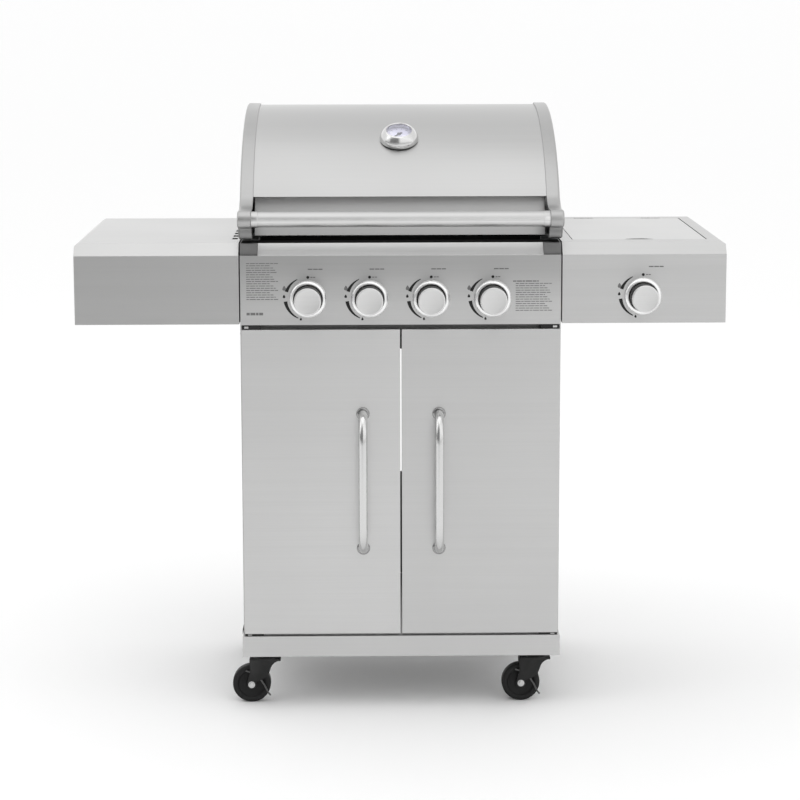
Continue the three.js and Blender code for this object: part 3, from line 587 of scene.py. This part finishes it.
def offset_outline(points, inset):
    """Moves each point of a closed (y, z) outline inwards along its corner's normal."""
    moved = []
    count = len(points)
    for k, (y, z) in enumerate(points):
        before = Vector(points[k - 1])
        after = Vector(points[(k + 1) % count])
        here = Vector((y, z))
        first = (here - before).normalized()
        second = (after - here).normalized()
        normal = Vector((first.y + second.y, -first.x - second.x)).normalized()
        share = max(0.5, normal.dot(Vector((first.y, -first.x))))
        moved.append((y + normal.x * inset / share, z + normal.y * inset / share))
    return moved


def make_cap(side, name, node):
    """An end casting: the hood's outline with the boss that holds the bar, hollow on its inner side."""
    outline = [
        *arch_points(0, 56),
        *arc(HINGE[1], HINGE[2], BOSS_RADIUS, 0, -90, 8),
        (FRONT + 0.013, CAP_LOW.z),
        (FRONT + 0.0095, CAP_LOW.z + 0.0008),
        (FRONT + 0.0070, CAP_LOW.z + 0.0030),
        (FRONT + 0.0040, CAP_LOW.z + 0.0085),
        (FRONT - 0.0010, CAP_LOW.z + 0.0155),
        (FRONT - 0.0070, CAP_LOW.z + 0.0215),
        *arc(HANDLE_Y, HANDLE_Z, BOSS_RADIUS, -58, -292, 28),
        (FRONT + 0.020, HANDLE_Z + 0.0163),
        (FRONT + 0.037, HANDLE_Z + 0.0178),
        (FRONT + 0.050, HANDLE_Z + 0.0222),
        (FRONT + 0.062, HANDLE_Z + 0.0290),
    ]
    outer = CAP_HIGH.x
    inner = CAP_LOW.x
    edge = 0.0045
    sections = [(outer, edge + 0.004)]
    sections += [(outer - edge + edge * math.sin(a), edge - edge * math.cos(a))
                 for a in (math.radians(90 - 15 * k) for k in range(7))]
    sections += [(inner + 0.0008, 0.0), (inner, 0.0008), (inner, CAP_WALL), (outer - CAP_WALL, CAP_WALL)]
    bm = bmesh.new()
    loft(bm, [[(side * x, y, z) for y, z in offset_outline(outline, inset)] for x, inset in sections])
    finish_piece(name, bm, "hood", "casting", [node], angle=40)


make_cap(1, "hood_right_casting", "hood_right_cap")
make_cap(-1, "hood_left_casting", "hood_left_cap")


def make_hood_sheet():
    """The curved skin: one sheet with a rolled lower hem and a return lip above the recessed panel."""
    inset = CAP_WALL + 0.0003
    thick = 0.0012
    outer = arch_points(inset, 90)
    inner = arch_points(inset + thick, 90)
    foot = SKIN_LOW.z
    lip_back = FRONT + 0.103
    hem_y, hem_z = outer[0]
    section = [
        (lip_back, hem_z + 0.0002),
        (hem_y + 0.0018, hem_z + 0.0002),
        (hem_y + 0.0004, hem_z + 0.0008),
        *outer[1:],
        (outer[-1][0], foot), (inner[-1][0], foot),
        *reversed(inner[1:]),
        (hem_y + 0.0030, hem_z + 0.0016),
        (lip_back, hem_z + 0.0014),
    ]
    half = SKIN_HIGH.x
    bm = bmesh.new()
    stations = [-half, -half * 0.5, 0, half * 0.5, half]
    loft(bm, [[(x, y, z) for y, z in section] for x in stations])
    finish_piece("hood_curved_sheet", bm, "hood", "hood", ["hood_skin"], angle=25)


make_hood_sheet()


def make_hood_bar():
    """The handle: a bright tube with a rolled bead at each end where it meets the castings."""
    radius = (HANDLE_HIGH.z - HANDLE_LOW.z) / 2
    profile = [(0, HANDLE_LOW.x)]
    for end in (-1, 1):
        x = HANDLE_LOW.x if end < 0 else HANDLE_HIGH.x
        bead = [(radius * 0.97, x), (radius, x - end * 0.0012), (radius, x - end * 0.012),
                (radius - 0.0007, x - end * 0.0126), (radius - 0.0007, x - end * 0.0136)]
        profile += bead if end < 0 else reversed(bead)
    profile.append((0, HANDLE_HIGH.x))
    bm = bmesh.new()
    lathe(bm, profile, (0, HANDLE_Y, HANDLE_Z), (1, 0, 0), 96)
    finish_piece("hood_handle_tube", bm, "hood", "bar", ["hood_handle"], angle=35)


make_hood_bar()


# ---------------------------------------------------------------- thermometer
NEEDLE_JOINT = find_joint("thermometer_needle_turn")
DIAL_AXIS = -Vector(NEEDLE_JOINT["axis"])
DIAL_PLACE = Vector(NEEDLE_JOINT["pos_m"])
DIAL_UP = Vector((1, 0, 0)).cross(DIAL_AXIS) * -1
DIAL_HEIGHT = 0.012
DIAL_MARKS = 28


def make_thermometer():
    """A polished cup with its stem, the white dial on its floor, the printed scale and a domed glass."""
    bm = bmesh.new()
    lathe(bm, [
        (0, -0.040), (0.0035, -0.0395), (0.004, -0.038), (0.004, 0.0006), (0.0345, 0.0006),
        (0.0372, 0.0010), (0.0380, 0.0024), (0.0380, 0.0044), (0.0374, 0.0078), (0.0360, 0.0116),
        (0.0340, 0.0152), (0.0316, 0.0184), (0.0294, 0.0208), (0.0278, 0.0222), (0.0265, 0.0228),
        (0.0254, 0.0225), (0.0248, 0.0214), (0.0245, 0.0150), (0.0245, DIAL_HEIGHT + 0.0001),
        (0, DIAL_HEIGHT + 0.0001),
    ], DIAL_PLACE, DIAL_AXIS, 96)
    finish_piece("thermometer_body", bm, "hood", "chrome", ["thermometer_case"], angle=50)
    bm = bmesh.new()
    lathe(bm, [(0, DIAL_HEIGHT + 0.0002), (0.0243, DIAL_HEIGHT + 0.0002), (0.0243, DIAL_HEIGHT + 0.00035),
               (0, DIAL_HEIGHT + 0.00035)], DIAL_PLACE, DIAL_AXIS, 64)
    finish_piece("thermometer_dial", bm, "hood", "dial")
    across = Vector((1, 0, 0))
    bm = bmesh.new()
    for k in range(DIAL_MARKS):
        swing = math.radians(225 - 270 * k / (DIAL_MARKS - 1))
        out = math.cos(swing) * across + math.sin(swing) * DIAL_UP
        wide = out.cross(DIAL_AXIS)
        long_mark = k % 3 == 0
        start, end = (0.0178 if long_mark else 0.0197), 0.0222
        half = 0.0005 if long_mark else 0.00025
        ring = [DIAL_PLACE + out * r + wide * w for r, w in
                ((start, -half), (end, -half), (end, half), (start, half))]
        loft(bm, [[p + DIAL_AXIS * h for p in ring] for h in (DIAL_HEIGHT + 0.00036, DIAL_HEIGHT + 0.0005)])
    finish_piece("thermometer_scale", bm, "hood", "faint_print")
    bm = bmesh.new()
    dome = [(0.0244 * math.sin(a), 0.0196 + 0.0024 * math.cos(a)) for a in
            (math.radians(15 * k) for k in range(7))]
    under = [(r * 0.98, h - 0.0006) for r, h in reversed(dome)]
    lathe(bm, [(0, dome[0][1]), *dome[1:], *under[:-1], (0, under[-1][1])], DIAL_PLACE, DIAL_AXIS, 64)
    finish_piece("thermometer_lens", bm, "hood", "glass", angle=60)


make_thermometer()


# ---------------------------------------------------------------- knobs, bezels and panel marks
KNOBS = ["knob_1", "knob_2", "knob_3", "knob_4", "side_burner_knob"]
MARK_RING = 0.0405
RULE_SHIFT = {"knob_4": 0.0020, "side_burner_knob": 0.0105}
DASHES = (0.0062, 0.0094, 0.0048, 0.0120, 0.0074)
DASH_GAP = 0.0012
SHORTEST_DASH = 0.0020
ROW_PITCH = 0.0043
RAGGED_STEP = 0.0045


def knob_centre(name):
    low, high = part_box(name)
    return (low.x + high.x) / 2, (low.z + high.z) / 2


def make_knob(name):
    """A dark plastic body with a satin metal face pressed over its front."""
    low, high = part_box(name)
    x, z = knob_centre(name)
    face = low.y
    back = high.y
    radius = (high.x - low.x) / 2
    bm = bmesh.new()
    lathe(bm, [
        (0, face + 0.0030), (radius - 0.0012, face + 0.0030), (radius - 0.0006, face + 0.0050),
        (radius - 0.0003, back - 0.0060), (radius, back - 0.0050), (radius, back - 0.0005),
        (radius - 0.0005, back), (0.0080, back), (0.0080, back - 0.0100), (0, back - 0.0100),
    ], (x, 0, z), (0, 1, 0), 96)
    finish_piece(f"{name}_body", bm, name, "plastic", [name], angle=40)
    bm = bmesh.new()
    lathe(bm, [
        (0, face + 0.0005), (0.0205, face + 0.0005), (0.0225, face + 0.0002), (0.0240, face),
        (radius - 0.0010, face + 0.0004), (radius - 0.0003, face + 0.0012), (radius, face + 0.0026),
        (radius, face + 0.0048), (radius - 0.0005, face + 0.0048), (radius - 0.0006, face + 0.0028),
        (0, face + 0.0028),
    ], (x, 0, z), (0, 1, 0), 96)
    finish_piece(f"{name}_face", bm, name, "knob_face", angle=40)


def make_bezel(name):
    """The domed chrome ring that the knob sinks into."""
    x, z = knob_centre(name)
    profile = (
        (0.0280, 0.0003), (0.0352, 0.0003), (0.0356, 0.0010), (0.0355, 0.0022), (0.0348, 0.0040),
        (0.0335, 0.0058), (0.0318, 0.0070), (0.0300, 0.0076), (0.0284, 0.0077), (0.0274, 0.0072),
        (0.0268, 0.0060), (0.0268, 0.0010),
    )
    bm = bmesh.new()
    lathe(bm, [(radius, FRONT - proud) for radius, proud in profile], (x, 0, z), (0, 1, 0), 96)
    finish_piece(f"{name}_bezel", bm, "cart", "bezel", angle=50)
    bm = bmesh.new()
    lathe(bm, [(0, FRONT - 0.0010), (0.0267, FRONT - 0.0010), (0.0267, FRONT - 0.0002), (0, FRONT - 0.0002)],
          (x, 0, z), (0, 1, 0), 64)
    finish_piece(f"{name}_dark_well", bm, "cart", "plastic", angle=50)


def flat_mark(bm, points):
    """A printed mark: a closed (x, z) outline a hair proud of the panel's face."""
    loft(bm, [[(x, FRONT - 0.00005, z) for x, z in points], [(x, FRONT - 0.0002, z) for x, z in points]])


def tapered_arc(bm, x, z, radius, start, end, thick_start, thick_end):
    """A printed arc, from start to end in degrees left of upright, whose thickness changes evenly."""
    outer, inner = [], []
    for k in range(17):
        share = k / 16
        angle = math.radians(90 + start + (end - start) * share)
        half = (thick_start + (thick_end - thick_start) * share) / 2
        outer.append((x + (radius + half) * math.cos(angle), z + (radius + half) * math.sin(angle)))
        inner.append((x + (radius - half) * math.cos(angle), z + (radius - half) * math.sin(angle)))
    flat_mark(bm, outer + inner[::-1])


def flame(bm, x, z, size):
    """A plain drop-shaped flame."""
    points = []
    for k in range(20):
        a = 2 * math.pi * k / 20
        width = 0.34 * size * math.sin(a) * (1 - 0.55 * math.cos(a))
        points.append((x + width, z + 0.5 * size * math.cos(a)))
    flat_mark(bm, points)


def dash(bm, left, right, low, high):
    flat_mark(bm, [(left, low), (right, low), (right, high), (left, high)])


def plain_rules(bm, left, right, top, rows, height):
    """Rows of fine dashes that stand where a note is printed. They spell nothing."""
    for row in range(rows):
        high = top - ROW_PITCH * row
        x, count = left, 2 * row
        end = right - RAGGED_STEP * (3 * row % 4)
        while x < end - SHORTEST_DASH:
            stop = min(x + DASHES[count % len(DASHES)], end)
            dash(bm, x, stop, high - height, high)
            x, count = stop + DASH_GAP, count + 1


def make_marks(name):
    """Printed marks round a knob: an off dot, two tapered arcs, flames and a fine rule."""
    x, z = knob_centre(name)
    bm = bmesh.new()
    flat_mark(bm, list(arc(x, z + MARK_RING + 0.0010, 0.0028, 0, 345, 23)))
    tapered_arc(bm, x - 0.0018, z + 0.0004, MARK_RING + 0.0008, 26, 71, 0.0014, 0.0066)
    tapered_arc(bm, x - 0.0018, z + 0.0010, MARK_RING + 0.0008, 98, 156, 0.0070, 0.0018)
    flame(bm, x - 0.0455, z + 0.0050, 0.0066)
    flame(bm, x - 0.0138, z - 0.0385, 0.0056)
    finish_piece(f"{name}_marks", bm, "cart", "print")
    bm = bmesh.new()
    flame(bm, x - 0.0450, z + 0.0208, 0.0094)
    for start, end in ((0.0050, 0.0090), (0.0100, 0.0142)):
        dash(bm, x + start, x + end, z + MARK_RING + 0.0001, z + MARK_RING + 0.0019)
    rule_x = x + RULE_SHIFT.get(name, 0.0)
    for start, end in ((0.0000, 0.0090), (0.0102, 0.0190), (0.0202, 0.0280)):
        dash(bm, rule_x + start, rule_x + end, z + 0.0558, z + 0.0580)
    finish_piece(f"{name}_fine_marks", bm, "cart", "faint_print")


for knob in KNOBS:
    make_knob(knob)
    make_bezel(knob)
    make_marks(knob)

# Blocks of dashes at the panel's ends: left, right, top above the panel's foot, rows, dash height
NOTES = {
    "left": ((-0.2935, -0.2330, 0.119, 17, 0.0015), (-0.2935, -0.2620, 0.024, 1, 0.0050)),
    "right": ((0.2136, 0.2626, 0.084, 1, 0.0022), (0.2187, 0.2880, 0.079, 13, 0.0014)),
}
for end, blocks in NOTES.items():
    bm = bmesh.new()
    for left, right, top, rows, height in blocks:
        plain_rules(bm, left, right, PANEL_BOTTOM + top, rows, height)
    finish_piece(f"{end}_panel_note", bm, "cart", "faint_print")


# ---------------------------------------------------------------- door pulls and hinge pins
DOOR_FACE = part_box("left_door")[0].y
PULL_BEND = 0.034
PULL_BEND_HEIGHT = 0.054


def make_pull(side):
    """A bow handle that curves out of the door at both ends, each with a washer."""
    low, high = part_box(f"{side}_door_handle")
    x = (low.x + high.x) / 2
    radius = (high.x - low.x) / 2
    bar = low.y + radius
    top, bottom = high.z - radius, low.z + radius
    path = [Vector((x, DOOR_FACE - 0.0003, top))]
    for centre, start, end in ((top - PULL_BEND_HEIGHT, 90, 180), (bottom + PULL_BEND_HEIGHT, 180, 270)):
        path += [Vector((x, bar + PULL_BEND + y * PULL_BEND, centre + z * PULL_BEND_HEIGHT))
                 for y, z in arc(0, 0, 1, start, end, 18)]
    path.append(Vector((x, DOOR_FACE - 0.0003, bottom)))
    bm = bmesh.new()
    tube(bm, path, radius, 40)
    finish_piece(f"{side}_door_pull", bm, f"{side}_door", "bar_z", [f"{side}_door_handle"],
                 angle=50)
    for end, z in (("upper", top), ("lower", bottom)):
        bm = bmesh.new()
        lathe(bm, [
            (radius + 0.0003, DOOR_FACE - 0.0002), (0.0126, DOOR_FACE - 0.0002), (0.0128, DOOR_FACE - 0.0010),
            (0.0122, DOOR_FACE - 0.0026), (0.0108, DOOR_FACE - 0.0036), (radius + 0.0003, DOOR_FACE - 0.0038),
        ], (x, 0, z), (0, 1, 0), 48)
        finish_piece(f"{side}_pull_{end}_washer", bm, f"{side}_door", "washer", angle=50)


for side in ("left", "right"):
    make_pull(side)


# ---------------------------------------------------------------- wheels and casters
def make_wheel(corner):
    """A solid wheel with a recessed web between its hub and its tread."""
    low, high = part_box(f"{corner}_wheel")
    centre = (low + high) / 2
    radius = (high.z - low.z) / 2
    half = (high.y - low.y) / 2
    side_profile = [
        (0.0044, 0.0), (0.0044, half - 0.0005), (0.0098, half - 0.0005), (0.0104, half - 0.0018),
        (0.0112, half - 0.0040), (0.0240, half - 0.0046), (0.0262, half - 0.0030), (0.0275, half - 0.0008),
        (0.0300, half - 0.0002), (0.0335, half - 0.0003), (0.0356, half - 0.0010), (0.0369, half - 0.0024),
        (radius - 0.0001, half - 0.0042), (radius, half - 0.0060),
    ]
    profile = side_profile + [(r, -y) for r, y in reversed(side_profile[1:])]
    bm = bmesh.new()
    lathe(bm, profile, centre, (0, 1, 0), 96)
    finish_piece(f"{corner}_wheel_tyre", bm, f"{corner}_wheel", "tread", [f"{corner}_wheel"],
                 angle=40)


def extrude_outline(bm, points, low, high):
    """An (x, z) outline between two depths."""
    loft(bm, [[(x, low, z) for x, z in points], [(x, high, z) for x, z in points]])


def make_fork(corner):
    """A pressed fork: a bearing housing, a crown and two broad legs down to the axle."""
    low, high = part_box(f"{corner}_caster_fork")
    x, y, _ = find_joint(f"{corner}_caster_swivel")["pos_m"]
    wheel_low, wheel_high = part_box(f"{corner}_wheel")
    axle_x = (wheel_low.x + wheel_high.x) / 2
    axle_z = (wheel_low.z + wheel_high.z) / 2
    leg = [
        (x - 0.0330, 0.0860), (x + 0.0280, 0.0860),
        *arc(x + 0.0290, 0.0650, 0.0210, 93, 168, 8),
        (x + 0.0030, 0.0550), (x - 0.0080, 0.0480), (axle_x + 0.0085, axle_z + 0.0060),
        *arc(axle_x, axle_z, 0.0085, 10, -190, 14),
        (axle_x - 0.0066, axle_z + 0.0120), (x - 0.0318, 0.0620), (x - 0.0325, 0.0740),
    ]
    gap, thick = 0.0155, 0.0025
    legs = {"front": (y - gap - thick, y - gap), "rear": (y + gap, y + gap + thick)}
    for side, (near, far) in legs.items():
        bm = bmesh.new()
        extrude_outline(bm, leg, near, far)
        replaced = [f"{corner}_caster_fork"] if side == "front" else []
        finish_piece(f"{corner}_fork_{side}_leg", bm, f"{corner}_caster", "black", replaced,
                     bevel=0.0008)
    bm = bmesh.new()
    block(bm, (x - 0.0330, y - gap - thick, 0.0850), (x + 0.0285, y + gap + thick, 0.0900))
    finish_piece(f"{corner}_fork_crown", bm, f"{corner}_caster", "black", bevel=0.0012)
    bm = bmesh.new()
    lathe(bm, [
        (0, 0.0895), (0.0255, 0.0895), (0.0262, 0.0905), (0.0255, 0.0930), (0.0225, 0.0955),
        (0.0200, 0.0965), (0.0172, 0.0975), (0.0170, high.z), (0, high.z),
    ], (x, y, 0), (0, 0, 1), 64)
    finish_piece(f"{corner}_swivel_housing", bm, f"{corner}_caster", "black", angle=40)
    face = low.y
    bm = bmesh.new()
    lathe(bm, [
        (0, face + 0.0022), (0.0052, face + 0.0022), (0.0053, face + 0.0012), (0.0049, face + 0.0002),
        (0.0038, face - 0.0004), (0, face - 0.0004),
    ], (axle_x, 0, axle_z), (0, 1, 0), 6)
    lathe(bm, [(0, face + 0.0028), (0.0066, face + 0.0028), (0.0066, face + 0.0021), (0, face + 0.0021)],
          (axle_x, 0, axle_z), (0, 1, 0), 40)
    finish_piece(f"{corner}_axle_bolt", bm, f"{corner}_caster", "bolt", angle=25)
    bm = bmesh.new()
    back = 2 * y - face
    lathe(bm, [
        (0, back), (0.0058, back), (0.0062, back - 0.0010), (0.0062, back - 0.0024), (0, back - 0.0024),
    ], (axle_x, 0, axle_z), (0, 1, 0), 6)
    finish_piece(f"{corner}_axle_nut", bm, f"{corner}_caster", "bolt", angle=25)


def make_plate(corner):
    """The caster's mounting plate, open round the swivel head, with four bolt heads."""
    x, y, _ = find_joint(f"{corner}_caster_swivel")["pos_m"]
    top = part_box("base_pan")[0].z
    half, hole, thick = 0.029, 0.0178, 0.0030
    steps = 48
    bm = bmesh.new()
    rings = []
    for radius, depth in ((hole, 0.0001), (None, 0.0001), (None, thick), (hole, thick)):
        ring = []
        for k in range(steps):
            a = 2 * math.pi * k / steps
            reach = radius or min(half / max(abs(math.cos(a)), abs(math.sin(a))), half * 1.30)
            ring.append((x + reach * math.cos(a), y + reach * math.sin(a), top - depth))
        rings.append(ring)
    loft(bm, rings, cyclic=True)
    finish_piece(f"{corner}_caster_plate", bm, "cart", "black", angle=40)
    bm = bmesh.new()
    for dx in (-1, 1):
        for dy in (-1, 1):
            lathe(bm, [
                (0, top - 0.0062), (0.0035, top - 0.0060), (0.0042, top - 0.0050), (0.0042, top - 0.0031),
                (0, top - 0.0031),
            ], (x + dx * 0.0225, y + dy * 0.0225, 0), (0, 0, 1), 6)
    finish_piece(f"{corner}_plate_bolts", bm, "cart", "chrome", angle=30)


for corner in ("front_left", "front_right", "rear_left", "rear_right"):
    make_wheel(corner)
    make_fork(corner)
    make_plate(corner)


# ---------------------------------------------------------------- door hinge brackets and painted shade pieces
DOOR_LOW, DOOR_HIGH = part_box("left_door")[0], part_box("right_door")[1]
PAN_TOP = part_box("base_pan")[1].z


def make_hinge_bits(side):
    """Black brackets in the gaps above and below a door, each with a bright pin: partly hinge hardware,
    partly painted shade that darkens the gaps.
    """
    end = "right" if side > 0 else "left"
    edge = side * (DOOR_HIGH.x - 0.0005)
    pin_x = edge - side * 0.002 - (0.0113 if side > 0 else -0.0030)
    for name, low, high in (("upper", DOOR_HIGH.z + 0.0004, PANEL_BOTTOM - 0.0008),
                            ("lower", PAN_TOP + 0.0002, DOOR_LOW.z - 0.0004)):
        bm = bmesh.new()
        xs = sorted((edge, edge - side * 0.036))
        block(bm, (xs[0], FRONT + 0.0050, low), (xs[1], FRONT + 0.0210, high))
        finish_piece(f"{end}_{name}_hinge_bracket", bm, "cart", "black", bevel=0.0004)
        bm = bmesh.new()
        middle = (low + high) / 2
        reach = (high - low) * 0.30
        lathe(bm, [(0, 0), (reach, 0.0003), (reach, 0.0080), (0, 0.0083)],
              (pin_x, FRONT + 0.0040, middle), (1, 0, 0), 20)
        finish_piece(f"{end}_{name}_hinge_pin", bm, "cart", "bolt", angle=50)


for side in (-1, 1):
    make_hinge_bits(side)

# A black plate under the left table's slots: painted shade seen through them
VENT_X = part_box("left_table")[1].x
bm = bmesh.new()
block(bm, (VENT_X - 0.0220, FRONT + 0.070, TABLE_TOP - 0.0045),
      (VENT_X - 0.0020, FRONT + 0.262, TABLE_TOP - 0.0030))
finish_piece("left_table_painted_shade_plate", bm, "cart", "black", bevel=0.0003)

# The black strip between the control panel's upper edge and the firebox: partly the firebox's black front,
# partly painted shadow in the gap under the hood
bm = bmesh.new()
panel_low, panel_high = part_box("control_panel")
block(bm, (panel_low.x + 0.002, FRONT + 0.0195, panel_high.z + 0.0001),
      (panel_high.x - 0.002, FRONT + 0.0590, panel_high.z + 0.0011))
block(bm, (panel_low.x + 0.036, FRONT + 0.0591, panel_high.z + 0.0001),
      (panel_high.x - 0.036, FRONT + 0.0598, panel_high.z + 0.0078))
finish_piece("black_and_shadow_strip", bm, "cart", "firebox_black_and_shadow", bevel=0.0003)


# ---------------------------------------------------------------- screws, catch and lid hinge
def add_screw(bm, place, axis, radius):
    """A domed cross-head screw whose underside sits at place and whose head points along axis."""
    axis = Vector(axis)
    lathe(bm, [
        (0, -0.0004), (radius, -0.0004), (radius, 0.0003), (radius * 0.88, 0.0012), (radius * 0.55, 0.0018),
        (radius * 0.30, 0.0019), (radius * 0.26, 0.0011), (0, 0.0011),
    ], place, axis, 20)


def make_screws(name, body, axis, places, radius=0.0038):
    bm = bmesh.new()
    for place in places:
        add_screw(bm, place, axis, radius)
    finish_piece(name, bm, body, "bolt", angle=40)


for side, end in ((-1, "left"), (1, "right")):
    panel_low, panel_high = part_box(f"{end}_side_panel")
    pan_low, pan_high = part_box("base_pan")
    flank = panel_high.x if side > 0 else panel_low.x
    rim = pan_high.x if side > 0 else pan_low.x
    depths = [FRONT + depth for depth in (0.050, 0.180, 0.310, 0.440)]
    make_screws(f"{end}_panel_screws", "cart", (side, 0, 0), [(flank, y, 0.735) for y in depths])
    make_screws(f"{end}_pan_screws", "cart", (side, 0, 0), [(rim, y, 0.128) for y in depths])
    pull_low, pull_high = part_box(f"{end}_door_handle")
    pull_x = (pull_low.x + pull_high.x) / 2
    inner_face = DOOR_FACE + 0.0015
    make_screws(f"{end}_pull_screws", f"{end}_door", (0, 1, 0),
                [(pull_x, inner_face, z) for z in (pull_high.z - 0.0086, pull_low.z + 0.0086)], radius=0.0055)
    bm = bmesh.new()
    xs = sorted((side * 0.006, side * 0.027))
    block(bm, (xs[0], FRONT + 0.0172, 0.7105), (xs[1], FRONT + 0.0186, 0.7345))
    block(bm, (xs[0], FRONT + 0.0040, 0.7330), (xs[1], FRONT + 0.0180, 0.7345))
    finish_piece(f"{end}_catch_plate", bm, f"{end}_door", "bolt", bevel=0.0003)

back_low, back_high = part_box("lower_back_panel")
rail_low, rail_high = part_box("upper_back_rail")
make_screws("back_screws", "cart", (0, 1, 0), [
    (sign * (back_high.x - 0.012), back_high.y, z) for sign in (-1, 1) for z in (0.180, 0.260, 0.350)
] + [(sign * (rail_high.x - 0.012), rail_high.y, (rail_low.z + rail_high.z) / 2) for sign in (-1, 1)])

bm = bmesh.new()
block(bm, (-0.030, FRONT + 0.0192, 0.7085), (0.030, FRONT + 0.0340, 0.7348))
finish_piece("magnet_catch", bm, "cart", "plastic", bevel=0.0010)

LID_HINGE = find_joint("side_burner_lid_hinge")["pos_m"]
LID_KNUCKLES = (
    ("table", "cart", ((-0.090, -0.078), (-0.062, -0.050), (0.050, 0.062), (0.078, 0.090))),
    ("lid", "side_burner_lid", ((-0.0775, -0.0625), (0.0625, 0.0775))),
)
for part, body, spans in LID_KNUCKLES:
    bm = bmesh.new()
    for start, end in spans:
        length = end - start
        lathe(bm, [(0, 0), (0.0009, 0), (0.0011, 0.0003), (0.0011, length - 0.0003), (0.0009, length),
                   (0, length)],
              (LID_HINGE[0] + start, LID_HINGE[1], LID_HINGE[2] - 0.0007), (1, 0, 0), 20)
    finish_piece(f"lid_hinge_{part}_knuckles", bm, body, "sheet_x", angle=50)
